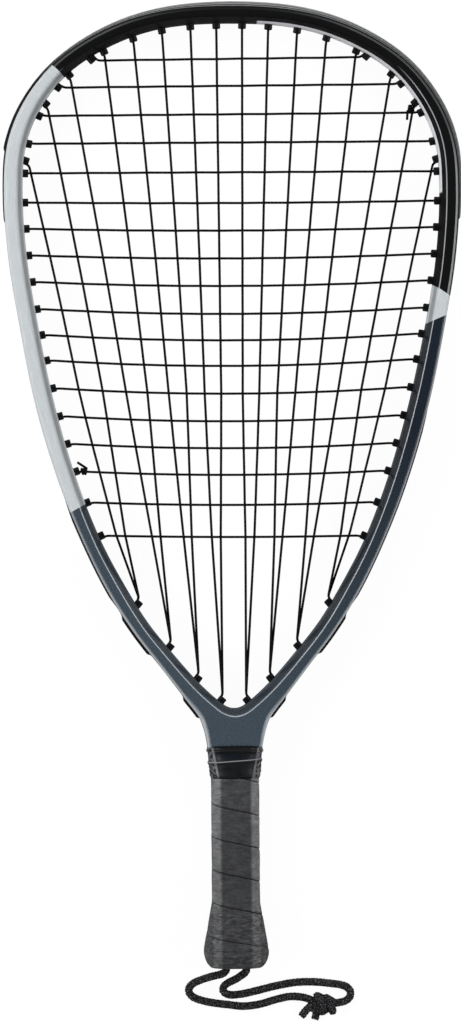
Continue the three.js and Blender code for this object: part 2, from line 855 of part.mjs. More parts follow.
function handlePallet(side) {
  const channel = handleLoft([palletEnd - overrun, handleLength + overrun].map((y) => [
    y, tenonWidth / 2 + gap, tenonDepth / 2 + gap, tenonBevel,
  ]));
  const otherHalf = new THREE.BoxGeometry(gripWidth, handleLength * 2, gripDepth);
  otherHalf.translate(0, handleLength / 2, side * (gap - gripDepth) / 2);
  const solid = straightGrip(palletEnd, handleLength, palletInset)
    .subtract(solidOf(channel))
    .subtract(solidOf(otherHalf))
    .subtract(stapleSolid(side, gap));
  return geometryOf(solid);
}

function cylinderAlong(axis, radius, length, x, y) {
  const cylinder = new THREE.CylinderGeometry(radius, radius, length, cordSides);
  if (axis === 'z') cylinder.rotateX(Math.PI / 2);
  cylinder.translate(x, y, 0);
  return solidOf(cylinder);
}

function buttCap() {
  const rounding = Array.from({ length: capRoundingSteps + 1 }, (_, n) => {
    const angle = n / capRoundingSteps * Math.PI / 2;
    const inset = capEndInset * (1 - Math.sin(angle));
    return gripRow(capRounding * (1 - Math.cos(angle)), inset, capLipHeight);
  });
  const outside = handleLoft([
    ...rounding,
    gripRow(capLipHeight, 0),
    gripRow(capLipHeight, palletInset),
    gripRow(capSkirtHeight, palletInset),
  ]);
  const cavityLength = capSeatHeight - capFloor;
  const cavity = new THREE.BoxGeometry(capCavityWidth, cavityLength + overrun, capCavityDepth);
  cavity.translate(0, capFloor + (cavityLength + overrun) / 2, 0);
  let solid = solidOf(outside)
    .subtract(straightGrip(capSeatHeight, capSkirtHeight + overrun, palletInset - gap))
    .subtract(solidOf(cavity))
    .add(cylinderAlong('z', capBarDiameter / 2, capCavityDepth + overrun * 2, 0, capBarHeight));
  [-1, 1].forEach((side) => {
    const x = side * cordHoleSpacing / 2;
    const hole = cylinderAlong('y', cordDiameter / 2 + gap, (capFloor + overrun) * 2, x, 0);
    solid = solid.subtract(hole).subtract(stapleSolid(side, gap));
  });
  return geometryOf(solid);
}

const faces = [['front', 1], ['back', -1]];
faces.forEach(([face, side]) => {
  addPiece(body, `handle_pallet_${face}`, handlePallet(side), 'foam');
});
addPiece(body, 'butt_cap', buttCap(), 'plastic');
faces.forEach(([face, side]) => {
  addPiece(body, `butt_cap_staple_${face}`, geometryOf(stapleSolid(side, 0)), 'steel');
});

// Grip: one band wound up the handle from the cap's lip to the collar
const gripStart = capLipHeight + gap;
const gripEnd = handleLength - collarLength - gap;

function tapeStations() {
  const corners = handleRing(...gripRow(flareLength, 0));
  const sides = corners.map((corner, k) => corner.distanceTo(corners[(k + 1) % corners.length]));
  const girth = sides.reduce((sum, side) => sum + side, 0);
  const firstTurn = Math.floor((gripStart - tapeSeamHeight) / tapePitch) - 1;
  const lastTurn = Math.ceil((gripEnd - tapeSeamHeight) / tapePitch) + 1;
  const stations = [];
  for (let turn = firstTurn; turn <= lastTurn; turn += 1) {
    let around = -sides[0];
    sides.forEach((side, corner) => {
      const middle = tapeSeamHeight + tapePitch * (turn - 1 / 2 + around / girth);
      stations.push({ corner, middle });
      around += side;
    });
  }
  return stations;
}

function tapeRing({ corner, middle }) {
  const reach = (tapePitch - tapeSeam) / 2;
  const heights = [middle - reach, middle, middle + reach];
  const pointAt = (y, inset) => handleRing(...gripRow(y, inset))[corner];
  return [
    ...heights.map((y) => pointAt(y, 0)),
    ...heights.reverse().map((y) => pointAt(y, tapeThickness)),
  ];
}

function gripTape() {
  const rings = tapeStations().map(tapeRing);
  const corners = handleRing(...gripRow(flareLength, 0)).length;
  const seams = rings.slice(corners).map((ring, i) => ring[0].distanceTo(rings[i][2]));
  console.log(`Least gap of the grip tape to itself: ${Math.min(...seams).toFixed(2)} mm`);
  const outline = [[0, 1], [0, 0], [0, -1], [-1, -1], [-1, 0], [-1, 1]];
  const band = loft(rings, outline.map(([x, y]) => new THREE.Vector2(x, y)));
  const room = new THREE.BoxGeometry(gripWidth * 2, gripEnd - gripStart, gripDepth * 2);
  room.translate(0, (gripStart + gripEnd) / 2, 0);
  return geometryOf(solidOf(band).intersect(solidOf(room)));
}

// Finishing tape over the top of the pallets, and the rubber collar over it
const collarStart = gripEnd + gap;
const finishingInset = palletInset - gap - finishingTapeThickness;

function finishingTape() {
  const end = collarStart + finishingTapeWidth;
  const solid = straightGrip(collarStart, end, finishingInset)
    .subtract(straightGrip(collarStart - overrun, end + overrun, palletInset - gap));
  return geometryOf(solid);
}

function collarRow(share, proud = 0) {
  const width = collarEndWidth + (collarWidth - collarEndWidth) * share;
  const depth = collarEndDepth + (collarDepth - collarEndDepth) * share;
  return [collarStart + collarLength * share, width / 2 + proud, depth / 2 + proud, gripBevel];
}

function gripCollar() {
  const ribs = collarRibShares.flatMap((share) => {
    const half = collarRibWidth / collarLength / 2;
    const top = half / 2;
    return [
      collarRow(share - half), collarRow(share - top, collarRibHeight),
      collarRow(share + top, collarRibHeight), collarRow(share + half),
    ];
  });
  const outside = handleLoft([collarRow(0), ...ribs, collarRow(1)]);
  const inside = straightGrip(collarStart - overrun, handleLength + overrun, finishingInset - gap);
  return geometryOf(solidOf(outside).subtract(inside));
}

addPiece(body, 'grip_tape', gripTape(), 'grip');
addPiece(body, 'finishing_tape', finishingTape(), 'rubber');
addPiece(body, 'grip_collar', gripCollar(), 'rubber');

// Wrist cord: a bight round the cap's bar, two strands that lie on the floor, and their knot.
// The points of the strands and tails are places on the floor, with the middle of the racket at
// zero.
const knotMiddle = [50.5, -302.8, 4.7];
const leftStrand = [
  [-5.8, -279.7, 15.7], [-5.9, -280.8, 15.7], [-6.9, -282.4, 15.4], [-9.5, -283.7, 14.5],
  [-13.2, -284.7, 12.8], [-17.6, -286.2, 10.5], [-22, -288, 8], [-25.5, -290.1, 5.9],
  [-27.3, -292.7, 4.4], [-27, -295.6, 3.3], [-24.7, -298, 2.6], [-19.8, -300, 2.5],
  [-13, -301.5, 2.5], [-4.5, -302.6, 2.5], [4.6, -303.6, 2.5], [14.2, -302.5, 2.5],
  [23.5, -299.9, 2.5], [32, -298.3, 2.5], [40.2, -299.1, 2.8], [44.3, -300.6, 3.4],
  knotMiddle,
];
const rightStrand = [
  [5.8, -279.7, 15.7], [5.8, -280.8, 15.7], [5, -282.6, 15.1], [2.6, -284.7, 13.4],
  [-1.2, -287.4, 10.7], [-4.4, -289.2, 8.2], [-6.7, -291.1, 6], [-7.5, -293.4, 4.4],
  [-6.4, -295.6, 3.2], [-3.9, -296.8, 2.6], [-0.4, -296.9, 2.5], [4.6, -296.3, 2.5],
  [12.5, -294.6, 2.5], [23.5, -292, 2.5], [35.1, -290.1, 2.5], [46.1, -290, 2.5], [55.5, -291, 2.5],
  [61, -291.8, 2.5], [64.7, -293.2, 2.5], [66.8, -295.8, 2.5], [66.4, -298.9, 2.7],
  [63.9, -301.1, 3], [59.6, -302.1, 3.5], [54.4, -302.7, 4],
  knotMiddle,
];
const longTail = [
  knotMiddle, [46.4, -303.2, 3.7], [43.4, -304.2, 2.9], [40.7, -306.7, 2.5], [38.1, -310, 2.5],
];
const shortTail = [knotMiddle, [48.2, -305.2, 3.6], [47.2, -307.4, 2.8], [46, -311.6, 2.5]];

function cordAlong(points, diameter) {
  const curve = new THREE.CatmullRomCurve3(points.map((point) => new THREE.Vector3(...point)), false);
  const section = new THREE.Shape(Array.from({ length: cordSides }, (_, n) => {
    const angle = n / cordSides * Math.PI * 2;
    return new THREE.Vector2(Math.cos(angle), Math.sin(angle)).multiplyScalar(diameter / 2);
  }));
  const steps = Math.max(2, Math.round(curve.getLength() / cordStep));
  const geometry = new THREE.ExtrudeGeometry(section, { steps, bevelEnabled: false, extrudePath: curve });
  geometry.deleteAttribute('normal');
  geometry.deleteAttribute('uv');
  return solidOf(geometry);
}

function knotSolid(clearance) {
  const knot = new THREE.SphereGeometry(1, knotSides, knotRows);
  knot.rotateX(Math.PI / 2);
  knot.scale(knotWidth / 2 + clearance, knotLength / 2 + clearance, knotHeight / 2 + clearance);
  knot.translate(...knotMiddle);
  return solidOf(knot);
}

function cordBight() {
  const reach = cordHoleSpacing / 2;
  const arch = Array.from({ length: bightSteps + 1 }, (_, n) => {
    const angle = n / bightSteps * Math.PI;
    return [-Math.cos(angle) * reach, capBarHeight + Math.sin(angle) * reach, 0];
  });
  return cordAlong([[-reach, 0, 0], ...arch, [reach, 0, 0]], cordDiameter);
}

addPiece(body, 'wrist_cord_bight', geometryOf(cordBight()), 'cord');
const strands = [
  ['wrist_cord_left', leftStrand], ['wrist_cord_right', rightStrand],
  ['wrist_cord_tail_long', longTail], ['wrist_cord_tail_short', shortTail],
];
strands.forEach(([name, points]) => {
  const strand = cordAlong(points, cordDiameter).subtract(knotSolid(gap));
  addPiece(racket, name, geometryOf(strand), 'cord');
});
addPiece(racket, 'wrist_cord_knot', geometryOf(knotSolid(0)), 'cord');

export default racket;
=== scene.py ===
import math

import bmesh
import bpy
from mathutils import Matrix, Vector


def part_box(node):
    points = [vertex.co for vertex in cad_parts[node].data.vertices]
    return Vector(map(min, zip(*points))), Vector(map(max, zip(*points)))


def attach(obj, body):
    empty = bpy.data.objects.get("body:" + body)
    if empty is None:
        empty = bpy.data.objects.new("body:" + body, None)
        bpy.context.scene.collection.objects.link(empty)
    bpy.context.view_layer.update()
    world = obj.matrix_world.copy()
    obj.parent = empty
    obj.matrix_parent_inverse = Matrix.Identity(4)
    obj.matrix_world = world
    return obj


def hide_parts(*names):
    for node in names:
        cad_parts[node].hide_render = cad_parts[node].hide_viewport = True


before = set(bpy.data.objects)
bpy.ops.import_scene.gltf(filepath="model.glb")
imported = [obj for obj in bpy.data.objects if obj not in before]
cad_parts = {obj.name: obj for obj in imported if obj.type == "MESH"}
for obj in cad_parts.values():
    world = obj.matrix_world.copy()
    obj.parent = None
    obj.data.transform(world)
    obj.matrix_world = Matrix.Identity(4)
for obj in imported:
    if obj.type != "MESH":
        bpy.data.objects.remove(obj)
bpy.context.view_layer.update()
mm = 0.001
weld = 0.001 * mm      # corners closer than this are one corner
up = Vector((0, 0, 1))
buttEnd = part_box("butt_cap")[0].y
stringPlane = (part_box("frame_tube")[0].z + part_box("frame_tube")[1].z) / 2

# The photo looks straight down on the racket from a little left of its long axis
photo = {
    "aim": Vector((-1.4, -16, 15.7)) * mm,
    "distance": 2400 * mm,
    "lens": 145.8,
    "swing": 2.25,   # degrees to the left
    "roll": 0.45,    # degrees, clockwise
}


def addCamera():
    turn = Matrix.Rotation(math.radians(-photo["swing"]), 4, "Y")
    roll = Matrix.Rotation(math.radians(-photo["roll"]), 4, "Z")
    bpy.ops.object.camera_add()
    camera = bpy.context.object
    away = turn @ (up * photo["distance"])
    camera.matrix_world = Matrix.Translation(photo["aim"] + away) @ turn @ roll
    camera.data.lens = photo["lens"]
    bpy.context.scene.camera = camera


addCamera()
print("camera placed")


# Small tools shared by the pieces

def makeActive(piece):
    bpy.ops.object.select_all(action="DESELECT")
    piece.select_set(True)
    bpy.context.view_layer.objects.active = piece


def turnTo(x, y, z):   # the turn that takes the three axes to these directions
    return Matrix((x, y, z)).transposed().to_4x4()


def turned(side, other, angle):
    return side * math.cos(angle) + other * math.sin(angle)


def bendPoint(a, b, c, w):   # on the bend from a to c round a corner at b, w from 0 to 1
    return a * (1 - w) ** 2 + b * 2 * w * (1 - w) + c * w ** 2


def curvePoint(points, spot):   # on a smooth closed curve, which passes its points at 0, 1, 2 and on
    start = math.floor(spot)
    w = spot - start
    a, b, c, d = (points[(start + k) % len(points)] for k in (-1, 0, 1, 2))
    first, middle, last = ((q - p).length ** 0.5 for p, q in ((a, b), (b, c), (c, d)))
    leave = ((b - a) / first - (c - a) / (first + middle) + (c - b) / middle) * middle
    arrive = ((c - b) / middle - (d - b) / (middle + last) + (d - c) / last) * middle
    bend = (c - b) * 3 - leave * 2 - arrive
    return b + leave * w + bend * w ** 2 + ((b - c) * 2 + leave + arrive) * w ** 3


def evenPath(points, step):   # points an even step apart along a smooth open curve
    points = [points[0] * 2 - points[1], *points, points[-1] * 2 - points[-2]]
    parts = 2000
    fine = [curvePoint(points, 1 + (len(points) - 3) * n / parts) for n in range(parts + 1)]
    travelled = [0]
    for a, b in zip(fine, fine[1:]):
        travelled.append(travelled[-1] + (b - a).length)
    count = round(travelled[-1] / step)
    path, spot = [], 0
    for n in range(count + 1):
        goal = travelled[-1] * n / count
        while spot < parts - 1 and travelled[spot + 1] < goal:
            spot += 1
        share = (goal - travelled[spot]) / (travelled[spot + 1] - travelled[spot])
        path.append(fine[spot].lerp(fine[spot + 1], min(1, share)))
    return path


def pathLength(path):
    return sum((b - a).length for a, b in zip(path, path[1:]))


def newCurve(name, lines, thickness, resolution):
    data = bpy.data.curves.new(name, "CURVE")
    data.dimensions = "3D"
    data.bevel_depth = thickness / 2
    data.bevel_resolution = resolution
    data.use_fill_caps = True
    for line in lines:
        spline = data.splines.new("POLY")
        spline.points.add(len(line) - 1)
        for corner, point in zip(spline.points, line):
            corner.co = (*point, 1)
    piece = bpy.data.objects.new(name, data)
    bpy.context.scene.collection.objects.link(piece)
    makeActive(piece)
    bpy.ops.object.convert(target="MESH")
    bpy.ops.object.shade_smooth()
    return bpy.context.object


def joinPieces(name, pieces):
    makeActive(pieces[0])
    for piece in pieces[1:]:
        piece.select_set(True)
    bpy.ops.object.join()
    pieces[0].name = name
    return pieces[0]


# A piece swept through rings of corners. Its first corners lie along the path, and they are
# extruded edge by edge round the section.
def sweepRings(name, rings, pathCloses=True, sectionCloses=True):
    bpy.ops.object.select_all(action="DESELECT")
    bpy.ops.mesh.primitive_circle_add(vertices=len(rings))
    piece = bpy.context.object
    piece.name = name
    bpy.ops.object.mode_set(mode="EDIT")
    shape = bmesh.from_edit_mesh(piece.data)
    spots = shape.verts.layers.int.new("spot")
    shape.verts.layers.int.new("row")
    shape.verts.ensure_lookup_table()
    for spot, corner in enumerate(shape.verts):
        corner[spots] = spot
        corner.co = rings[spot][0]
    if not pathCloses:
        ends = {shape.verts[0], shape.verts[len(rings) - 1]}
        seam = [edge for edge in shape.edges if set(edge.verts) == ends]
        bmesh.ops.delete(shape, geom=seam, context="EDGES_FACES")
    bmesh.update_edit_mesh(piece.data)
    last = len(rings[0])
    for step in range(1, last + sectionCloses):
        bpy.ops.mesh.extrude_edges_move()
        shape = bmesh.from_edit_mesh(piece.data)
        spots, rows = (shape.verts.layers.int[layer] for layer in ("spot", "row"))
        for corner in shape.verts:
            if corner.select:
                corner.co = rings[corner[spots]][step % last]
                corner[rows] = step
        bmesh.update_edit_mesh(piece.data)
    layUv(piece, rings, pathCloses)
    bpy.ops.mesh.select_all(action="SELECT")
    bpy.ops.mesh.remove_doubles(threshold=weld)
    if not (pathCloses and sectionCloses):
        bpy.ops.mesh.fill_holes(sides=0)
    bpy.ops.mesh.select_all(action="SELECT")
    bpy.ops.mesh.normals_make_consistent(inside=False)
    bpy.ops.object.mode_set(mode="OBJECT")
    return piece


def roundWidest(rings):   # how far each corner of the widest ring lies from the first one, round it
    around = [0]
    widest = max(rings, key=pathLength)
    for a, b in zip(widest, widest[1:] + widest[:1]):
        around.append(around[-1] + (b - a).length)
    return around


def layUv(piece, rings, pathCloses):   # u along the path and v round the section, in metres
    shape = bmesh.from_edit_mesh(piece.data)
    spots, rows = (shape.verts.layers.int[layer] for layer in ("spot", "row"))
    uv = shape.loops.layers.uv.verify()
    along, around = [0], roundWidest(rings)
    for a, b in zip(rings, rings[1:] + rings[:1]):
        along.append(along[-1] + (b[0] - a[0]).length)
    for face in shape.faces:
        wraps = pathCloses and {corner[spots] for corner in face.verts} == {0, len(rings) - 1}
        for loop in face.loops:
            spot = loop.vert[spots]
            spot = len(rings) if wraps and spot == 0 else spot
            loop[uv].uv = (along[spot], around[loop.vert[rows]])
    bmesh.update_edit_mesh(piece.data)


def shadeSmooth(angle):   # the active piece, but for edges sharper than that
    bpy.ops.object.shade_smooth_by_angle(angle=math.radians(angle))


def applyModifier(piece, kind, **settings):
    makeActive(piece)
    modifier = piece.modifiers.new(kind, kind)
    for key, value in settings.items():
        setattr(modifier, key, value)
    bpy.ops.object.modifier_apply(modifier=modifier.name)


# A piece has the name of the node that it replaces, with capitals for its underscores. Blender
# puts a point and a number behind the name where the two are the same.
def placePiece(piece, slot, *materials):
    for material in materials:
        piece.data.materials.append(material)
    name = piece.name.split(".")[0]
    node = "".join("_" + letter.lower() if letter.isupper() else letter for letter in name)
    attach(piece, "root")
    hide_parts(node)


# Materials. Each node goes into the tree of a socket that it takes in.

def isSocket(value):
    return isinstance(value, bpy.types.NodeSocket)


def addNode(tree, kind, inputs, **settings):   # gives the node's outputs
    node = tree.nodes.new(kind)
    for key, value in settings.items():
        setattr(node, key, value)
    for key, value in inputs.items():
        if isSocket(value):
            tree.links.new(value, node.inputs[key])
        else:
            node.inputs[key].default_value = value
    return node.outputs


def noise(place, size, detail=3, roughness=0.55):   # its lumps are about that size
    return addNode(place.id_data, "ShaderNodeTexNoise", {
        "Vector": place, "Scale": 1 / size, "Detail": detail, "Roughness": roughness,
    })["Fac"]


def ramp(value, low, high, fromMin=0.3, fromMax=0.7):
    return addNode(value.id_data, "ShaderNodeMapRange", {
        "Value": value, "From Min": fromMin, "From Max": fromMax, "To Min": low, "To Max": high,
    })["Result"]


def stepAt(value, level, soft, low=0, high=1):
    return ramp(value, low, high, level - soft, level + soft)


def mixed(share, *colors):
    colors = [color if isSocket(color) else (*color, 1) for color in colors]
    inputs = {0: share, 6: colors[0], 7: colors[1]}
    return addNode(share.id_data, "ShaderNodeMix", inputs, data_type="RGBA")[2]


def mathOn(operation, *values):
    tree = next(value.id_data for value in values if isSocket(value))
    return addNode(tree, "ShaderNodeMath", dict(enumerate(values)), operation=operation)[0]


def times(total, *others):
    for other in others:
        total = mathOn("MULTIPLY", total, other)
    return total


def plus(first, second):
    return mathOn("ADD", first, second)


def minus(first, second):
    return mathOn("SUBTRACT", first, second)


def scaled(color, share):
    return addNode(share.id_data, "ShaderNodeVectorMath", {0: color, 3: share}, operation="SCALE")[0]


def stretched(place, shares):
    return addNode(place.id_data, "ShaderNodeVectorMath", {0: place, 1: shares}, operation="MULTIPLY")[0]


def axisOf(place, axis):
    return addNode(place.id_data, "ShaderNodeSeparateXYZ", {0: place})[axis]


def nearLevels(value, levels, reach):   # 1 where the value is near one of the levels
    total = 0.0
    for level in levels:
        away = mathOn("ABSOLUTE", minus(value, level))
        total = plus(ramp(away, 1, 0, reach * 0.5, reach), total)
    return total


def aboveLine(place, line):   # 1 on the head's side of the line through two places
    (x1, y1), (x2, y2) = line
    normal = Vector((y1 - y2, x2 - x1, 0)).normalized()
    normal = normal if normal.y > 0 else -normal
    inputs, soft = {0: place, 1: normal}, 0.12 * mm
    along = addNode(place.id_data, "ShaderNodeVectorMath", inputs, operation="DOT_PRODUCT")["Value"]
    return stepAt(along, normal.dot(Vector((x1, y1, 0))) * mm, soft)


def plug(value, socket):
    tree = value.id_data
    tree.links.new(value, tree.nodes["Principled BSDF"].inputs[socket])


def bump(height, depth):
    inputs = {"Height": height, "Distance": depth}
    plug(addNode(height.id_data, "ShaderNodeBump", inputs)["Normal"], "Normal")


# Gives the material and its place in the object. The roughness is a number, or else the size of
# its patches, the lowest and the highest.
def newMaterial(name, roughness, **sockets):
    material = bpy.data.materials.new(name)
    material.use_nodes = True
    shader = material.node_tree.nodes["Principled BSDF"]
    for socket, value in sockets.items():
        shader.inputs[socket.replace("_", " ")].default_value = value
    place = addNode(material.node_tree, "ShaderNodeTexCoord", {})["Object"]
    if isinstance(roughness, tuple):
        size, *span = roughness
        plug(ramp(noise(place, size), *span), "Roughness")
    else:
        shader.inputs["Roughness"].default_value = roughness
    return material, place


# A material with patches of two colours and fine bumps. The patches have a size, detail and the
# span of their noise, and the bumps a size, detail and depth.
def grainyMaterial(name, colors, patches, bumps, roughness, specular=0.5, paintedShadeOf=None):
    material, place = newMaterial(name, roughness, Specular_IOR_Level=specular)
    size, detail, *span = patches
    color = mixed(ramp(noise(place, size, detail), 0, 1, *span), *colors)
    plug(scaled(color, paintedShadeOf(place)) if paintedShadeOf else color, "Base Color")
    size, detail, depth = bumps
    bump(noise(place, size, detail), depth)
    return material


# Wrist cord. Its places repeat the solids' route.
cord = {
    "diameter": 4.9 * mm,
    "yarns": 6,            # in each of the two directions
    "yarnThickness": 1.12 * mm,
    "coreThickness": 3.1 * mm,
    "weave": 0.22 * mm,    # how far a yarn rises over the ones that it crosses
    "pitch": 11.6 * mm,
    "steps": 4,            # from one crossing to the next
    "left": [
        (-5.8, -279.7, 15.7), (-5.9, -280.8, 15.7), (-6.9, -282.4, 15.4), (-9.5, -283.7, 14.5),
        (-13.2, -284.7, 12.8), (-17.6, -286.2, 10.5), (-22, -288, 8), (-25.5, -290.1, 5.9),
        (-27.3, -292.7, 4.4), (-27, -295.6, 3.3), (-24.7, -298, 2.6), (-19.8, -300, 2.5),
        (-13, -301.5, 2.5), (-4.5, -302.6, 2.5), (4.6, -303.6, 2.5), (14.2, -302.5, 2.5),
        (23.5, -299.9, 2.5), (32, -298.3, 2.5), (40.2, -299.1, 2.8), (44.3, -300.6, 3.4),
    ],
    "right": [
        (5.8, -279.7, 15.7), (5.8, -280.8, 15.7), (5, -282.6, 15.1), (2.6, -284.7, 13.4),
        (-1.2, -287.4, 10.7), (-4.4, -289.2, 8.2), (-6.7, -291.1, 6), (-7.5, -293.4, 4.4),
        (-6.4, -295.6, 3.2), (-3.9, -296.8, 2.6), (-0.4, -296.9, 2.5), (4.6, -296.3, 2.5),
        (12.5, -294.6, 2.5), (23.5, -292, 2.5), (35.1, -290.1, 2.5), (46.1, -290, 2.5),
        (55.5, -291, 2.5), (61, -291.8, 2.5), (64.7, -293.2, 2.5), (66.8, -295.8, 2.5),
        (66.4, -298.9, 2.7), (63.9, -301.1, 3), (59.6, -302.1, 3.5), (54.4, -302.7, 4),
    ],
    "tailLong": [(46.4, -303.2, 3.7), (43.4, -304.2, 2.9), (40.7, -306.7, 2.5), (38.1, -310, 2.5)],
    "tailShort": [(48.2, -305.2, 3.6), (47.2, -307.4, 2.8), (46, -311.6, 2.5)],
    # the knot, an overhand knot in both strands at once: a wrap and the strands under it
    "knotWrap": [
        (44.7, -299.6, 2.7), (44, -304.1, 2.5), (48, -307.1, 3), (51.6, -304.2, 6.9),
        (48.5, -299.2, 7.2), (47.2, -298, 3.5), (50.3, -299.7, 2.5), (54.7, -305.4, 2.7),
        (56.3, -306.9, 4.9), (54.8, -303.3, 7.1), (52.1, -299.1, 4.9), (55.4, -300.8, 3.3),
        (57.2, -302.2, 3.6),
    ],
    "knotCore": [
        (44.3, -300.7, 3.4), (47.7, -302.8, 4.8), (52.1, -305.6, 4.4), (49.9, -307.2, 3.6),
        (46.4, -303.2, 3.7),
    ],
    "bar": 6.5,            # from the butt end to the bar that the bight goes round
    "archSteps": 8,        # along the bight's half turn
}


def alongFrames(path):   # a pair of directions square to the path at each of its points
    frames, side = [], up.cross(path[1] - path[0])
    for i in range(len(path)):
        ahead = (path[min(i + 1, len(path) - 1)] - path[max(i - 1, 0)]).normalized()
        side = (side - ahead * side.dot(ahead)).normalized()
        frames.append((side, ahead.cross(side)))
    return frames


def braid(name, *routes):   # yarns woven round a core; gives the last route's path too
    yarns, steps, weave = cord["yarns"], cord["steps"], cord["weave"]
    middle = (cord["diameter"] - cord["yarnThickness"]) / 2 - weave
    pieces = []
    for route in routes:
        path = evenPath([Vector(point) * mm for point in route], cord["pitch"] / (2 * yarns * steps))
        frames = alongFrames(path)
        lines = []
        for way in (1, -1):
            for yarn in range(yarns):
                line = []
                for i, point in enumerate(path):
                    angle = way * math.pi * i / (steps * yarns) + 2 * math.pi * yarn / yarns
                    rise = way * weave * math.cos(math.pi * i / steps)
                    line.append(point + turned(*frames[i], angle) * (middle + rise))
                lines.append(line)
        pieces.append(newCurve(name, lines, cord["yarnThickness"], 0))
        pieces.append(newCurve(name + "Core", [path], cord["coreThickness"], 1))
    return joinPieces(name, pieces), path


def addWristCord():
    # the braid's paler patches are painted highlights on its yarns, set at random
    material = grainyMaterial("cordBraid", ((0.003, 0.003, 0.004), (0.11, 0.112, 0.118)),
                              (0.9 * mm, 1, 0.5, 0.66), (0.18 * mm, 2, 0.05 * mm), 0.6, 0.3)
    reach, _, height = cord["right"][0]
    butt = buttEnd / mm
    arch = [(-reach * math.cos(a), butt + cord["bar"] + reach * math.sin(a), height)
            for a in (math.pi * n / cord["archSteps"] for n in range(cord["archSteps"] + 1))]
    pieces = []
    for name, *routes in (("Knot", cord["knotWrap"], cord["knotCore"]),
                          ("TailLong", cord["tailLong"]), ("TailShort", cord["tailShort"]),
                          ("Left", cord["left"]), ("Right", cord["right"]),
                          ("Bight", [(-reach, butt, height), *arch, (reach, butt, height)])):
        pieces.append(braid("wristCord" + name, *routes))
        placePiece(pieces[-1][0], "cord", material)
    knot, tailLong, tailShort = (piece for piece, _ in pieces[:3])
    for (piece, path), onCord in zip(pieces[3:5], ([knot, tailLong, tailShort], [knot])):
        print(piece.name, "is", round(pathLength(path), 4), "m long")


addWristCord()
print("wrist cord laid")


# Head: the inner and outer walls of the hoop, as shares of its sizes
head = {
    "width": 242.8 * mm, "length": 396.4 * mm, "bottom": 149.9 * mm,   # bottom above the butt end
    "tubeWidth": 10.8 * mm, "tubeDepth": 23 * mm,
    "innerEdge": 8 * mm,
    # the bevel's width on each side, from the top to the V
    "bevelRight": ((0, 2.9), (0.3, 3.1), (0.4, 4), (0.5, 4.2)),
    "bevelLeft": ((0, 2.9), (0.2, 3.6), (0.4, 4), (0.5, 4.2)),
    "outerBevel": 1.4 * mm, "outerEdge": 18 * mm,
    # how far each corner's rounding reaches, from the inner wall over the front to the groove
    "rounding": (1.2 * mm, 1.3 * mm, 0.8 * mm, 0.9 * mm, 0.2 * mm, 0.01 * mm),
    "arcSteps": 3,
    "roundShare": 0.45,    # the most that a rounding takes of an edge
    "grooveDepth": 3 * mm, "grooveWidth": 8.3 * mm, "ungrooved": 0.03 * mm,
    "seat": 2.7 * mm,      # from the outer wall down to the channels' base
    "shaftWidth": 31.4 * mm, "shaftEnd": 127.3 * mm, "shaftBend": (17 * mm, 13 * mm),
    "shaftRows": 2,        # rows of the outline beside the shaft, on each side
    "bendShare": 2 / 3,    # of these rows, for its side; the rest are for its end
    # the left shoulder's shift, how far out and how far up it comes to that, and where it starts
    "leftDraw": 1.3 * mm, "drawOut": 100 * mm, "drawUp": 110 * mm, "drawFrom": 20 * mm,
    "steps": 6,            # stations from one row of the outline to the next
    "widestRow": 6,
    # half width, height, tube width, and the way the outer wall faces, from the top to the V
    "outline": [
        (0, 1, 0.833, 0), (0.326, 0.9927, 0.815, 12.5), (0.569, 0.9682, 0.843, 24.6),
        (0.7825, 0.9266, 0.852, 42.4), (0.919, 0.8722, 0.921, 59.8), (0.985, 0.8187, 0.972, 79),
        (1, 0.7506, 1, 90), (0.98, 0.6548, 0.986, 95.4), (0.9325, 0.5666, 0.972, 102),
        (0.851, 0.4501, 0.995, 106.7), (0.7405, 0.3333, 0.954, 113.5),
        (0.629, 0.2456, 0.917, 121), (0.5156, 0.1793, 0.972, 124), (0.4102, 0.1266, 0.944, 131.8),
        (0.2965, 0.0825, 0.972, 129.6), (0.167, 0.0371, 1.13, 135), (0.068, 0.0093, 1.426, 131.6),
        (0.03, 0.0018, 2.07, 145.7), (0, 0, 2.07, 180),
    ],
}
vBottom = buttEnd + head["bottom"]


def wallPoints(share):   # the inner wall at 0 and the outer one at 1, down the right and up the left
    right = []
    for x, y, width, lean in head["outline"]:
        across = turned(Vector((0, 1, 0)), Vector((1, 0, 0)), math.radians(lean))
        place = Vector((x * head["width"] / 2, vBottom + y * head["length"], stringPlane))
        right.append(place + across * head["tubeWidth"] * width * share)
    return right + [Vector((-p.x, p.y, p.z)) for p in reversed(right[1:-1])]


innerWall, outerWall = wallPoints(0), wallPoints(1)
rowCount = len(innerWall)


def readTable(table, share):
    for (low, first), (high, second) in zip(table, table[1:]):
        if share <= high:
            return first + (second - first) * (share - low) / (high - low)
    return table[-1][1]


def smooth(share):
    t = max(0, min(1, share))
    return t * t * (3 - 2 * t)


def drawIn(point):   # the hoop's left shoulder lies a little further in than the right one
    out, height = -point.x / head["drawOut"], (point.y - head["drawFrom"]) / head["drawUp"]
    return point + Vector((head["leftDraw"] * smooth(out) * smooth(height), 0, 0))


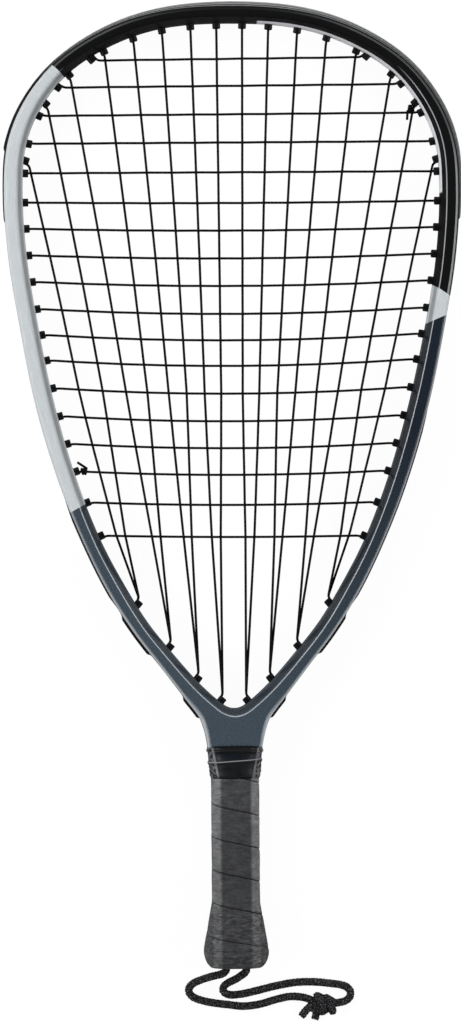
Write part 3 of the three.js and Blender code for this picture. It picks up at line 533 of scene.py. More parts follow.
def station(place):   # place round the hoop: 0 at the top, 0.5 at the V, negative on the left
    inner, outer = (curvePoint(wall, place * rowCount) for wall in (innerWall, outerWall))
    reach = 1 - (0.5 - abs(place)) * rowCount / head["shaftRows"]
    if reach > 0:   # down the side of the shaft, then across its end
        side = math.copysign(1, place)
        corner = Vector((side * head["shaftWidth"] / 2, buttEnd + head["shaftEnd"], stringPlane))
        start = curvePoint(outerWall, side * (rowCount / 2 - head["shaftRows"]))
        bend = Vector((side * head["shaftBend"][0], vBottom - head["shaftBend"][1], stringPlane))
        outer = bendPoint(start, bend, corner, min(1, reach / head["bendShare"]))
        across = max(0, reach - head["bendShare"]) / (1 - head["bendShare"])
        outer = outer.lerp(Vector((0, corner.y, corner.z)), across)
    inner, outer = drawIn(inner), drawIn(outer)
    return inner, (outer - inner).normalized(), (outer - inner).length


def ringThrough(place, section):
    inner, out, width = station(place)
    return [inner + out * across + up * height for across, height in section(width, place)]


def mirrored(half):
    return half + [(across, -height) for across, height in reversed(half)]


def placeWhere(isBefore, low, high):
    for _ in range(40):   # halves the range each time
        middle = (low + high) / 2
        low, high = (middle, high) if isBefore(middle) else (low, middle)
    return (low + high) / 2


def placeAtHeight(y, extra):   # the place on the right where the outer wall has that height
    def section(width, _):
        return [(width + extra, 0)]
    return placeWhere(lambda place: ringThrough(place, section)[0].y > y, 0.02, 0.48)


# Where the plastic channels start and end on the right, read from their solids
bumperEnd = placeAtHeight(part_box("bumper_guard")[0].y, 0.9 * mm)
channelEnds = {}
for name, node, proud in (("grommetStrip", "grommet_strip_right", 0.9),
                          ("upperThroatGuard", "upper_throat_guard_right", 1.2),
                          ("lowerThroatGuard", "lower_throat_guard_right", 1.2)):
    low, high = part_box(node)
    channelEnds[name] = (placeAtHeight(high.y, -head["seat"]), placeAtHeight(low.y, proud * mm))
print("the bumper ends at", round(bumperEnd, 4), "of the way round the hoop")


def roundCorners(corners, reaches):   # a section's corners, each turned into a short arc
    points, steps = [], head["arcSteps"]
    for k, (corner, reach) in enumerate(zip(corners, reaches)):
        ends = []
        for other in (corners[k - 1], corners[(k + 1) % len(corners)]):
            length = math.dist(corner, other)
            share = min(reach, length * head["roundShare"]) / length
            ends.append([a + (b - a) * share for a, b in zip(corner, other)])
        for n in range(steps + 1):
            points.append([bendPoint(*abc, n / steps) for abc in zip(ends[0], corner, ends[1])])
    return points


def hoopSection(width, place):
    spot = abs(place)
    grooved = spot <= channelEnds["grommetStrip"][1] or any(
        top <= spot <= end for top, end in channelEnds.values())
    depth = head["grooveDepth"] if grooved else head["ungrooved"]
    bevel = readTable(head["bevelRight" if place > 0 else "bevelLeft"], spot) * mm
    corners = mirrored([
        (0, head["innerEdge"] / 2), (bevel, head["tubeDepth"] / 2),
        (width - head["outerBevel"], head["tubeDepth"] / 2), (width, head["outerEdge"] / 2),
        (width, head["grooveWidth"] / 2), (width - depth, head["grooveWidth"] / 2),
    ])
    return roundCorners(corners, head["rounding"] + head["rounding"][::-1])


# Paint: black over the top and down the right, silver down the left and on a patch at the right,
# slate below. Each boundary is a line across the tube, given by two places on it.
paint = {
    "black": (0.0025, 0.0025, 0.003),
    "silver": (0.65, 0.69, 0.71),
    "stripe": (0.88, 0.88, 0.92), "stripeFrom": 16 * mm, "stripeTo": 168 * mm,
    "slate": (0.060, 0.082, 0.104),
    # painted shade: the slate darkens towards the right arm and the top; its darker colour, and where the
    # darkening starts and ends
    "slatePaintedShade": (0.015, 0.0205, 0.031),
    "paintedShadeFrom": -137 * mm, "paintedShadeTo": 129 * mm,
    # where the black ends and where the silver ends
    "left": (((-102.6, 242.1), (-95.1, 235.1)), ((-93.8, -15.5), (-84.5, -10.3))),
    "right": (((126.2, 107.8), (116.4, 114.5)), ((124.6, 97.2), (113.1, 92.4))),
    "shaftSide": (13.4 * mm, 14.6 * mm),
    "grain": 0.8 * mm, "flake": 0.5 * mm, "brushed": (0.07, 1, 1),
    # painted shade on the inner bevels and its reach; the reach of the gloss round them, and the coat
    "bevelPaintedShade": 0.48, "bevelReach": 3.4 * mm, "shineReach": 5.2 * mm, "coat": 0.42,
    # how far the painted highlights on the rims and the stripe lie from the corners of the section
    "rimIn": 0.3 * mm, "stripeIn": 2.6 * mm,
    # the colour of the painted highlights
    "ridge": (0.62, 0.66, 0.69),
    # painted highlights along the tube: where in its section, width, strength, and where they fade upwards
    "lines": (
        ("ridges", 0.46, 0.7, 228, 241), ("rims", 1.1, 0.12, 262, 275), ("rims", 1.1, 0.4, 178, 205),
        ("edges", 1.1, 0.5, 100, 112), ("edges", 1.9, 0.42, -80, -40), ("edges", 3.6, 0.4, -134, -120),
    ),
}


def paintMaterial(levels):   # the levels are distances round the tube's section
    material, place = newMaterial("framePaint", 0.3, Coat_Roughness=0.1, Specular_IOR_Level=0.12)
    uv = place.node.outputs["UV"]
    x, y, around = axisOf(place, "X"), axisOf(place, "Y"), axisOf(uv, "Y")
    # painted shade: the slate darkens towards the right arm and the top, away from the light on the left
    depth = ramp(plus(times(x, 0.9), y), 0, 1, paint["paintedShadeFrom"], paint["paintedShadeTo"])
    grain = ramp(noise(place, paint["grain"], 4), 0.72, 1.34)
    slate = scaled(mixed(depth, paint["slate"], paint["slatePaintedShade"]), grain)
    brushed = noise(stretched(uv, paint["brushed"]), paint["grain"], 4, 0.5)
    flakes = times(ramp(noise(place, paint["flake"], 5), 0.94, 1.06), ramp(brushed, 0.86, 1.12))
    silver = scaled(paint["silver"], flakes)
    sides, blacks = [], []
    for top, end in (paint["left"], paint["right"]):
        blacks.append(aboveLine(place, top))
        sides.append(mixed(blacks[-1], mixed(aboveLine(place, end), slate, silver), paint["black"]))
    isRight = stepAt(x, 0, 0.01 * mm)
    isBlack = mixed(isRight, *blacks)
    # painted shade: the inner bevels are darker than the face beside them
    bevelShadeMask = nearLevels(around, levels["bevels"], paint["bevelReach"])
    color = scaled(mixed(isRight, *sides), minus(1.0, times(bevelShadeMask, paint["bevelPaintedShade"])))
    # the inner wall is dull, and so is the black paint outside the bevels
    flat = minus(1.0, nearLevels(around, levels["bevels"], paint["shineReach"]))
    wall = stepAt(around, levels["wall"], 0.4 * mm, 0, 0.85)
    dull = mathOn("MAXIMUM", times(plus(times(flat, 0.2), 0.8), isBlack), wall)
    plug(ramp(dull, paint["coat"], 0, 0, 1), "Coat Weight")
    plug(plus(ramp(noise(place, 14 * mm), 0.2, 0.28), times(dull, 0.35)), "Roughness")
    # a pale stripe along the right of the head, on the inner wall and the edges of its bevels
    inner, outer = levels["stripe"]
    striped = plus(stepAt(around, inner, 0.2 * mm, 1, 0), stepAt(around, outer, 0.2 * mm))
    for axis, start in ((x, paint["stripeFrom"]), (y, paint["stripeTo"])):
        striped = times(striped, stepAt(axis, start, 0.5 * mm))
    color = mixed(striped, color, paint["stripe"])
    # painted highlights: pale lines along the ridges, along the rims of the black paint, and along the
    # edges beside the shaft
    beside = ramp(mathOn("ABSOLUTE", x), 0, 1, *paint["shaftSide"])
    within = {"ridges": 1, "rims": isBlack, "edges": beside}
    for line, width, strength, low, high in paint["lines"]:
        near = times(nearLevels(around, levels[line], width * mm), strength)
        fade = times(ramp(y, 1, 0, low * mm, high * mm), within[line])
        color = mixed(times(near, fade), color, paint["ridge"])
    plug(color, "Base Color")
    bump(noise(place, 2.5 * mm, 2), 0.012 * mm)
    return material


def addFrame():
    count = rowCount * head["steps"]
    places = [n / count if n <= count / 2 else n / count - 1 for n in range(count)]
    rings = [ringThrough(place, hoopSection) for place in places]
    hoop = sweepRings("frameTube", rings)
    makeActive(hoop)
    shadeSmooth(40)
    applyModifier(hoop, "WEIGHTED_NORMAL", keep_sharp=True, weight=80)
    around, arc = roundWidest(rings), head["arcSteps"] + 1
    corners = [(around[arc * k + 1] + around[arc * k + 2]) / 2 for k in range(12)]   # middles of the arcs
    levels = {
        "ridges": (corners[1], corners[10]),
        "bevels": ((corners[0] + corners[1]) / 2, (corners[10] + corners[11]) / 2),
        "rims": (corners[2] - paint["rimIn"], corners[9] + paint["rimIn"]),
        "wall": corners[11],
        "stripe": (corners[0] + paint["stripeIn"], corners[11] - paint["stripeIn"]),
        "edges": ((corners[2] + corners[3]) / 2, (corners[8] + corners[9]) / 2),
    }
    placePiece(hoop, "frame_paint", paintMaterial(levels))


addFrame()
print("frame swept")


# The string runs through the rings of its solid, which are walked from one end to the other
string = {
    "thickness": 1.44 * mm,
    "settle": 0.68,        # how much of the solids' weave is kept, so that crossing strings touch
    "weave": 1.05 * mm,    # what lies further from the string bed's plane is no part of the weave
    "mouth": 4 * mm,       # from the inner wall to the points where the strings leave their barrels
    "hugMain": 2.2 * mm, "hugCross": 2.8 * mm,
    "nearMouth": 0.6 * mm,   # how far from there a corner of the solid's line may lie
    "bend": 1.7 * mm,      # how far from a corner its bend starts
    "bendSteps": ((4, 1), (30, 2), (180, 4)),   # up to which angle, how many
    "tieRings": 7,         # rings of the solid's own tie at each end
    "tieTurns": 2.25, "tieSteps": 12, "tiePitch": 1.35 * mm, "tieSpread": 1.03, "tieLean": 0.9 * mm,
    "firstTie": (Vector((-0.96, -4.98, 0)), Vector((-0.4, -5.2, 0.3)) * mm),
    "lastTie": (Vector((1, 0.01, 0)), Vector((-5.4, 3.6, 1.2)) * mm),
}


def ringCentres():
    shape = bmesh.new()
    shape.from_mesh(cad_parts["string"].data)
    bmesh.ops.remove_doubles(shape, verts=shape.verts, dist=weld)
    # the corners of both end caps have the fewest edges; the walk starts at one cap
    caps = [corner for corner in shape.verts if len(corner.link_edges) < 6]
    layer = {corner for corner in caps if (corner.co - caps[0].co).length < string["thickness"] * 2}
    seen, centres = set(layer), []
    while layer:
        centres.append(sum((corner.co for corner in layer), Vector()) / len(layer))
        layer = {edge.other_vert(corner) for corner in layer for edge in corner.link_edges} - seen
        seen |= layer
    shape.free()
    return centres


def settle(point):   # brings crossing strings together; the runs outside the hoop stay
    rise = point.z - stringPlane
    rise *= string["settle"] if abs(rise) < string["weave"] else 1
    return drawIn(Vector((point.x, point.y, stringPlane + rise)))


def tieOff(start, ahead, tail, turning):   # a wrap round the string that shares the hole, and its end
    own = Vector((start.x, start.y, stringPlane * 2 - start.z))
    axis, first = ahead.normalized(), (start - own).normalized()
    steps, points = string["tieSteps"], []
    for n in range(1, round(string["tieTurns"] * steps) + 1):
        out = turned(first, axis.cross(first) * turning, 2 * math.pi * n / steps)
        away = out * string["thickness"] * string["tieSpread"]
        points.append(own + axis * string["tiePitch"] * n / steps + away)
    last = points[-1] + (points[-1] - points[-2]).normalized() * string["tieLean"]
    return points + [last, last + tail * 0.5, last + tail]


def leanTo(hole, direction):   # how far the string leaves the line of the hole, across it
    return direction - hole["axis"] * direction.dot(hole["axis"])


def hugRims(path, found):   # each pass through the net meets its barrels at the rim on its own side
    mouths = []
    for i, point in enumerate(path):
        for hole in found:
            away = hole["inner"] - hole["axis"] * string["mouth"] - point
            if math.hypot(away.x, away.y) < string["nearMouth"]:
                mouths.append((i, hole))
    moved = [point.copy() for point in path]
    for (i, first), (j, second) in zip(mouths, mouths[1:]):
        if (path[i + 1] - path[i]).dot(first["axis"]) > 0:   # this run goes round outside the hoop
            continue
        shifts = []
        for hole, direction in ((first, path[j] - path[i]), (second, path[i] - path[j])):
            pull = string["hugMain"] if hole["main"] else string["hugCross"] * (hole["inner"].x > 0)
            shift = leanTo(hole, direction.normalized()) * pull
            shifts.append(Vector((shift.x, shift.y, 0)))
        for n in range(i, j + 1):
            share = (path[n] - path[i]).length / (path[j] - path[i]).length
            moved[n] += shifts[0].lerp(shifts[1], min(1, share))
    return moved


def bendCorners(path):   # straight runs between short round bends
    fine = [path[0]]
    for before, corner, after in zip(path, path[1:], path[2:]):
        sides = (before - corner, after - corner)
        start, end = (corner + side.normalized() * min(string["bend"], side.length * head["roundShare"])
                      for side in sides)
        angle = math.degrees(math.pi - sides[0].angle(sides[1]))
        steps = next(steps for most, steps in string["bendSteps"] if angle < most)
        fine += [bendPoint(start, corner, end, n / steps) for n in range(steps + 1)]
    return fine + [path[-1]]


def addString():
    rings = string["tieRings"]
    path = [settle(point) for point in ringCentres()[rings:-rings]]
    fine = bendCorners(hugRims(path, allHoles()))
    start = tieOff(fine[0], *string["firstTie"], 1)
    end = tieOff(fine[-1], *string["lastTie"], -1)
    line = start[::-1] + fine + end
    print("string is", round(pathLength(line), 2), "m long")
    piece = newCurve("string", [line], string["thickness"], 3)
    material = grainyMaterial("stringBlack", ((0.002, 0.002, 0.0024), (0.006, 0.006, 0.007)), (7 * mm, 3),
                              (0.35 * mm, 2, 0.02 * mm), (2 * mm, 0.42, 0.6), 0.08)
    placePiece(piece, "string", material)


# String holes: where the strings pass the inner wall, as shares of half the head's width or of
# its length, and where the mains point
holes = {
    "top": (0.062, 0.188, 0.327, 0.468, 0.611, 0.78, 0.894, 0.9942),
    "bottom": (0.068, 0.18, 0.312, 0.462),
    "cross": (
        0.9536, 0.9125, 0.8697, 0.827, 0.7827, 0.7393, 0.7007, 0.6616, 0.6225, 0.5825, 0.5444,
        0.5071, 0.4662, 0.4251, 0.3845, 0.3439, 0.298, 0.2489,
    ),
    "topAim": (0.046, 0.1236, 0.2084, 0.2924, 0.3921, 0.4909, 0.6005, 0.7117),
    "topAimHeight": 0.45,
    "bottomAim": (0.0519, 0.1895, 0.3369, 0.5033),
    "bottomAimHeight": 0.25,
    "tiedTop": 6, "tiedCross": 15,
    "tilt": 0.2,           # how far a barrel leans from the wall's facing to the string's
}
barrel = {
    "radius": 2.3 * mm, "proud": 3.2 * mm, "depth": 7.2 * mm, "bore": 1.25 * mm,
    "chamfer": 0.4 * mm, "sides": 16, "squareness": 1.12,
    "stretch": 1.35,       # of the barrels that two strings share
    "drop": 3 * mm,        # the left crosses come in at the upper rims
}


def makeHole(place, aim, main, shared):
    inner, out, _ = station(place)
    toward = (aim - inner).normalized()
    axis = (out * (1 - holes["tilt"]) - toward * holes["tilt"]).normalized()
    return dict(place=place, inner=inner, axis=axis, toward=toward, main=main, shared=shared)


def allHoles():
    half, widest = head["width"] / 2, head["widestRow"] / rowCount
    found = []
    for end, low, high, facing in (("top", 0, widest, 1), ("bottom", widest, 0.5, -1)):
        aimY = vBottom + holes[end + "AimHeight"] * head["length"]
        for i, (share, aimShare) in enumerate(zip(holes[end], holes[end + "Aim"])):
            place = placeWhere(lambda p: station(p)[0].x * facing < share * half * facing, low, high)
            for side in (1, -1):
                shared = end == "bottom" or (i == holes["tiedTop"] and side == 1)
                aim = Vector((side * aimShare * half, aimY, stringPlane))
                found.append(makeHole(side * place, aim, True, shared))
    for i, share in enumerate(holes["cross"]):
        y = vBottom + share * head["length"]
        place = placeWhere(lambda p: station(p)[0].y > y, 0, 0.5)
        for side in (1, -1):
            aim = station(side * place)[0] - Vector((side, 0, 0))
            found.append(makeHole(side * place, aim, False, i == holes["tiedCross"] and side == -1))
    return found


def barrelShape(name):
    radius, proud, depth = barrel["radius"], barrel["proud"], barrel["depth"]
    bore, chamfer = barrel["bore"], barrel["chamfer"]
    profile = [
        (radius, depth), (radius, chamfer - proud), (radius - chamfer / 2, chamfer * 0.3 - proud),
        (radius - chamfer, -proud), (bore + chamfer, -proud), (bore, chamfer - proud), (bore, depth),
    ]

    def corner(angle, reach, y):   # the outside is a rounded square, as the barrels look in the photo
        c, s = math.cos(angle), math.sin(angle)
        square = min(1 / (abs(c) ** 3 + abs(s) ** 3) ** (1 / 3), barrel["squareness"])
        reach *= square if reach > bore * 1.5 else 1
        return Vector((c * reach, y, s * reach))

    sides = barrel["sides"]
    piece = sweepRings(name, [[corner(2 * math.pi * (n + 0.5) / sides, *spot) for spot in profile]
                              for n in range(sides)])
    shadeSmooth(35)
    return piece


def barrelAt(pattern, hole):
    copy = pattern.copy()
    copy.data = pattern.data.copy()
    bpy.context.scene.collection.objects.link(copy)
    stretch = Matrix.Diagonal((1, 1, barrel["stretch"] if hole["shared"] else 1, 1))
    place = hole["inner"].copy()
    if not hole["main"] and place.x < 0:
        place -= leanTo(hole, hole["toward"]) * barrel["drop"]
    turn = turnTo(hole["axis"].cross(up), hole["axis"], up)
    copy.data.transform(Matrix.Translation(place) @ turn @ stretch)
    return copy


# Plastic channels in the groove of the tube: a base, two walls and a lip over the outer face
channel = {
    "wall": 3.85 * mm, "floor": 1.9 * mm, "inside": 2.85 * mm,
    # the lip's reach to each side, thickness, and the part that stands proud on the right and left,
    # as shares of its length from the head's end
    "grommetStrip": (5 * mm, 0.95 * mm, ((0.46, 0.97), (0.66, 0.97))),
    "upperThroatGuard": (6 * mm, 1.5 * mm, ((0.2, 0.8), (0.2, 0.8))),
    "lowerThroatGuard": (6 * mm, 1.5 * mm, ((0.29, 0.71), (0.29, 0.71))),
    "thin": 0.12 * mm, "rise": 0.06,   # where a lip isn't proud, and the share in which it rises
    "sunk": 0.05 * mm, "bumperOff": 0.1 * mm, "bumperLip": 8.5 * mm,
    # the bumper's thickness in mm from the top to each of its ends; the left side thins sooner
    "bumperRight": ((0, 2.75), (0.25, 2.6), (0.72, 2), (0.9, 1.5), (1, 0.8)),
    "bumperLeft": ((0, 2.75), (0.25, 1.9), (0.55, 0.9), (0.72, 0.9), (1, 0.5)),
    "endEase": 1.2 * mm, "eases": (0, 0.1, 0.3, 0.6, 1), "endShare": 0.45,   # an end is thinner
    # the bumper's terraces: share of its thickness, how far its side has stepped in
    "terraces": ((0, -0.1), (0.15, -0.1), (0.18, 1), (0.3, 1), (0.33, 0.1), (0.56, 0.15),
                 (0.59, 0.6), (0.67, 0.6), (0.7, 0.2), (0.9, 0.4), (1, 1.3)),
    # the grooves take painted shade
    "grooves": ((3, 6, 0.75), (7, 10, 0.5)),   # between which of its corners, and how dark
    "lipRound": ((0, 0), (0.45, 0), (0.8, 0.16), (0.96, 0.4), (1, 0.75)),
}


def placesAlong(start, end):
    length = pathLength([station(start + (end - start) * n / 40)[0] for n in range(41)])
    eases = [channel["endEase"] / length * (end - start) * share for share in channel["eases"]]
    step = min(1 / (rowCount * head["steps"]), (end - start) / 24)
    inside = [n * step for n in range(math.floor(start / step), math.ceil(end / step) + 1)]
    low, high = start + eases[-1] * 1.5, end - eases[-1] * 1.5
    return ([start + ease for ease in eases] + [place for place in inside if low < place < high]
            + [end - ease for ease in reversed(eases)]), length


def channelRing(place, thickness, lip, off, profile):
    def section(width, _):
        face, inside = width + off, channel["inside"]
        slope = min(1, thickness / (0.9 * mm)) * mm
        edge = [(face + share * thickness, lip - drawn * slope) for share, drawn in profile]
        return mirrored([
            (width - head["seat"], channel["wall"]), (face, channel["wall"]), *edge,
            (face + thickness, inside + 0.25 * mm), (face + thickness * 0.75, inside),
            (width - channel["floor"], inside),
        ])

    return ringThrough(place, section)


def bumperRing(place, thickness):
    return channelRing(place, thickness, channel["bumperLip"], channel["bumperOff"], channel["terraces"])


def addChannel(name, span, found, nylon, barrelNylon, lip=0, full=0, proud=None):
    start, end = span
    places, length = placesAlong(start, end)
    rings = []
    for place in places:
        near = min(place - start, end - place) / (end - start) * length / channel["endEase"]
        least = channel["endShare"]
        eased = least + (1 - least) * math.sqrt(1 - (1 - min(1, near)) ** 2)
        if proud:
            share = (abs(place) - min(abs(start), abs(end))) / (end - start)
            # 1 where the lip stands proud, 0 well beside that
            rises = smooth(min(share - proud[0], proud[1] - share) / channel["rise"] + 0.5)
            thickness = channel["thin"] + (full - channel["thin"]) * rises
            rings.append(channelRing(place, thickness * eased, lip, -channel["sunk"], channel["lipRound"]))
        else:
            table = channel["bumperRight" if place > 0 else "bumperLeft"]
            rings.append(bumperRing(place, readTable(table, abs(place) / end) * mm * eased))
    strip = sweepRings(name, rings, pathCloses=False)
    shadeSmooth(22)
    pattern = barrelShape("barrelPattern")
    strip.data.materials.append(nylon)
    pattern.data.materials.append(barrelNylon)
    barrels = [barrelAt(pattern, hole) for hole in found if start < hole["place"] < end]
    bpy.data.objects.remove(pattern)
    placePiece(joinPieces(name, [strip, *barrels]), "nylon")


# Painted shade on the bumper: darker down its left, a little darker down its right, and in the sunk lines
# between its terraces.
def bumperPaintedShade(place):   # dark down the left, and in the sunk lines between the terraces
    x, around = axisOf(place, "X"), axisOf(place.node.outputs["UV"], "Y")
    shade = times(ramp(x, 0.04, 1, -112 * mm, -86 * mm), ramp(x, 1, 0.85, 60 * mm, 122 * mm))
    spots = roundWidest([bumperRing(0, channel["bumperRight"][0][1] * mm)])
    last = len(spots) - 2   # the ring runs down its front half and up its back half
    for low, high, strength in channel["grooves"]:
        for a, b in ((spots[low], spots[high]), (spots[last - high], spots[last - low])):
            near = nearLevels(around, ((a + b) / 2,), (b - a) / 2 * 1.15)
            shade = times(shade, minus(1.0, times(near, strength)))
    return shade


def nylonMaterial(name, colors, roughness, paintedShadeOf=None):
    return grainyMaterial(name, colors, (3 * mm, 5, 0.5, 0.75), (0.5 * mm, 3, 0.03 * mm),
                          (5 * mm, roughness - 0.08, roughness + 0.1), 0.16, paintedShadeOf)


def addChannels():
    found = allHoles()
    nylon = nylonMaterial("nylonBlack", ((0.006, 0.006, 0.007), (0.014, 0.014, 0.015)), 0.4)
    # the bumper's grey is painted light over the top; painted shade darkens it down the sides
    bumperNylon = nylonMaterial("bumperNylon", ((0.33, 0.332, 0.336), (0.42, 0.422, 0.428)), 0.45,
                                bumperPaintedShade)
    addChannel("bumperGuard", (-bumperEnd, bumperEnd), found, bumperNylon, nylon)
    for side, word in enumerate(("Right", "Left")):
        for name, ends in channelEnds.items():
            span = sorted(-place if side else place for place in ends)
            lip, thickness, proud = channel[name]
            addChannel(name + word, span, found, nylon, nylon, lip, thickness, proud[side])


addString()
print("string woven")
addChannels()
print("bumper, strips and guards set")


# Handle
handle = {
    "width": 27.8 * mm, "depth": 26.5 * mm, "bevel": 6.15 * mm,
    "flareTop": 38 * mm, "flareLip": 10.5 * mm, "flareGrowth": 4.9 * mm,
    "soften": 1.5 * mm,
    "start": 10.7 * mm, "end": 109.7 * mm,
    "tape": 1.8 * mm, "pitch": 19 * mm, "seam": 0.5 * mm, "seamHeight": 52 * mm,
    "uneven": 0.1 * mm,
    "around": 56,
    # half of the band's section: share of its half width or distance from its edge, and inset
    "edge": ((0, 1.8), (0, 0.62), (0.07, 0.36), (0.22, 0.16), (0.5, 0.05), (1.1, 0)),
    "flat": (0.75, 0.5, 0.25, 0),
}
rubber = {
    "dark": (0.053, 0.054, 0.058), "light": (0.19, 0.192, 0.196),
    # across: where the painted light on the side facets starts, and where painted shade darkens their
    # outer edge; along: the flare's top and the paler upper part
    "litFacet": (8 * mm, 9.6 * mm), "rim": (13.2 * mm, 14 * mm),
    "flare": (-249 * mm, -240 * mm), "upper": (-215 * mm, -180 * mm),
    "fold": 6 * mm, "crease": 3.2 * mm, "across": (1, 2.6, 1),   # folds run across the handle
    "grain": 0.45 * mm, "pebble": 1.1 * mm,
}


def octagon(w, d, bevel):   # from half width and half depth
    a, b = w - bevel, d - bevel
    corners = ((w, b), (a, d), (-a, d), (-w, b), (-w, -b), (-a, -d), (a, -d), (w, -b))
    return [Vector((x, buttEnd, stringPlane + z)) for x, z in corners]


def gripCorners(y, inset):   # the grip's outline at a height above the butt end
    reach = (handle["flareTop"] - y) / (handle["flareTop"] - handle["flareLip"])
    growth = handle["flareGrowth"] * max(0, reach)
    bevel = handle["bevel"] + (growth * 0.75 - inset) * (2 - math.sqrt(2))
    return octagon(handle["width"] / 2 + growth - inset, handle["depth"] / 2 + growth / 2 - inset, bevel)


plainCorners = gripCorners(handle["flareTop"], 0)
sideLengths = [(plainCorners[(k + 1) % 8] - plainCorners[k]).length for k in range(8)]
girth = sum(sideLengths)


def pointRound(corners, share):   # share of the way round, from the front's right corner to the left
    travelled, k = share % 1 * girth, 1
    while travelled > sideLengths[k % 8]:
        travelled -= sideLengths[k % 8]
        k += 1
    return corners[k % 8].lerp(corners[(k + 1) % 8], travelled / sideLengths[k % 8])


def softPoint(corners, share, soften, y):   # on the rounded outline, at a height above the butt end
    points = [pointRound(corners, share + soften / girth * n) for n in (-1.5, -0.75, 0, 0, 0.75, 1.5)]
    return sum(points, Vector()) / len(points) + Vector((0, y, 0))


def ripple(share, y, scale):   # a smooth unevenness that closes round the handle
    waves = ((3, 1, 0), (5, -0.6, 1.3), (2, 1.7, 4))   # how often round, how steep, phase
    return sum(math.sin(2 * math.pi * (count * share + y * scale * steep) + phase)
               for count, steep, phase in waves) / 3


def rubberMaterial():
    material, place = newMaterial("gripRubber", (4 * mm, 0.62, 0.84), Specular_IOR_Level=0.25)
    across, along = mathOn("ABSOLUTE", axisOf(place, "X")), axisOf(place, "Y")
    # painted light and shade: the side facets are lighter than the front, and darker again at their outer
    # edge; the dark colour is the front's, the light one the lit facets'
    side = minus(ramp(across, 0, 1, *rubber["litFacet"]), ramp(across, 0, 0.6, *rubber["rim"]))
    flare = ramp(along, 1, 0, *rubber["flare"])
    level = times(minus(0.45, side), times(flare, 0.25))   # the flare's sides differ less
    color = mixed(plus(side, level), rubber["dark"], rubber["light"])
    tone = times(ramp(noise(place, 6 * mm, 6), 0.86, 1.2), ramp(along, 1, 1.25, *rubber["upper"]))
    # painted shade and highlight: the colour darkens and lightens along the folds, with the noise that
    # also bumps them, and along creases on the flare
    wide = stretched(place, rubber["across"])
    folds = noise(wide, rubber["fold"], 5, 0.6)
    crumpled = times(ramp(noise(wide, rubber["crease"], 4, 0.6), -0.4, 0.48), plus(flare, 0.4))
    tone = times(tone, ramp(folds, 0.7, 1.3), plus(crumpled, 1.0))
    plug(scaled(color, tone), "Base Color")
    inputs = {"Vector": place, "Scale": 1 / rubber["pebble"]}
    pebbles = addNode(place.id_data, "ShaderNodeTexVoronoi", inputs)["Distance"]
    grain = plus(noise(place, rubber["grain"], 4), times(pebbles, 0.7))
    bump(plus(grain, times(folds, plus(flare, 0.35), 6)), 0.7 * mm)
    return material


def addGrip(material):
    half = (handle["pitch"] - handle["seam"]) / 2
    upper = [(half - d * mm, inset * mm) for d, inset in handle["edge"]]
    upper += [(half * share, 0) for share in handle["flat"]]
    profile = upper + [(-offset, inset) for offset, inset in reversed(upper[:-1])]
    first = math.floor((handle["start"] - handle["seamHeight"]) / handle["pitch"]) - 1
    last = math.ceil((handle["end"] - handle["seamHeight"]) / handle["pitch"]) + 1
    rings = []
    for n in range((last - first + 1) * handle["around"]):
        turn = first + n / handle["around"]
        share = turn % 1
        ring = []
        for offset, inset in profile:
            y = handle["seamHeight"] + handle["pitch"] * (turn - 0.5) + offset
            if inset < handle["tape"]:
                inset += handle["uneven"] * (1 + ripple(share, y / mm, 0.05))
            ring.append(softPoint(gripCorners(y, inset), share, handle["soften"], y))
        rings.append(ring)
    band = sweepRings("gripTape", rings, pathCloses=False)
    bpy.ops.object.mode_set(mode="EDIT")
    for y, outer in ((handle["start"], False), (handle["end"], True)):
        bpy.ops.mesh.select_all(action="SELECT")
        bpy.ops.mesh.bisect(plane_co=(0, buttEnd + y, 0), plane_no=(0, 1, 0), use_fill=True,
                            clear_outer=outer, clear_inner=not outer)
    bpy.ops.object.mode_set(mode="OBJECT")
    shadeSmooth(40)
    placePiece(band, "grip", material)


cap = {
    "seat": 2.1 * mm, "skirt": 28 * mm, "under": 0.2 * mm, "soften": 2.4 * mm,
    # height above the butt end and how far the outline is drawn in there
    "end": ((9.9, 0.05), (9.3, 0), (7.5, 0.15), (5.5, 0.6), (3.75, 1.25), (2.4, 2), (1.4, 2.8),
            (0.6, 3.6), (0.12, 4.4), (0, 5.2)),
    "holeSpacing": 11.6 * mm, "holeRadius": cord["diameter"] / 2 + 0.3 * mm, "holeDepth": 8 * mm,
}


def addCap(material):
    top = handle["start"] - 0.05 * mm
    profile = [(cap["skirt"], cap["seat"]), (top, cap["seat"]), (top, cap["under"])]
    profile += [(y * mm, inset * mm) for y, inset in cap["end"]]
    lip, around = handle["flareLip"], handle["around"]
    rings = [[softPoint(gripCorners(max(lip, y), inset), n / around, cap["soften"], y)
              for y, inset in profile] for n in range(around)]
    piece = sweepRings("buttCap", rings, sectionCloses=False)
    for side in (-1, 1):
        bpy.ops.object.select_all(action="DESELECT")
        bpy.ops.mesh.primitive_cylinder_add(
            vertices=24, radius=cap["holeRadius"], depth=cap["holeDepth"] * 2,
            location=(side * cap["holeSpacing"] / 2, buttEnd, stringPlane), rotation=(math.pi / 2, 0, 0))
        cutter = bpy.context.object
        applyModifier(piece, "BOOLEAN", operation="DIFFERENCE", object=cutter, solver="EXACT")
        bpy.data.objects.remove(cutter)
    makeActive(piece)
    shadeSmooth(40)
    placePiece(piece, "cap_plastic", material)


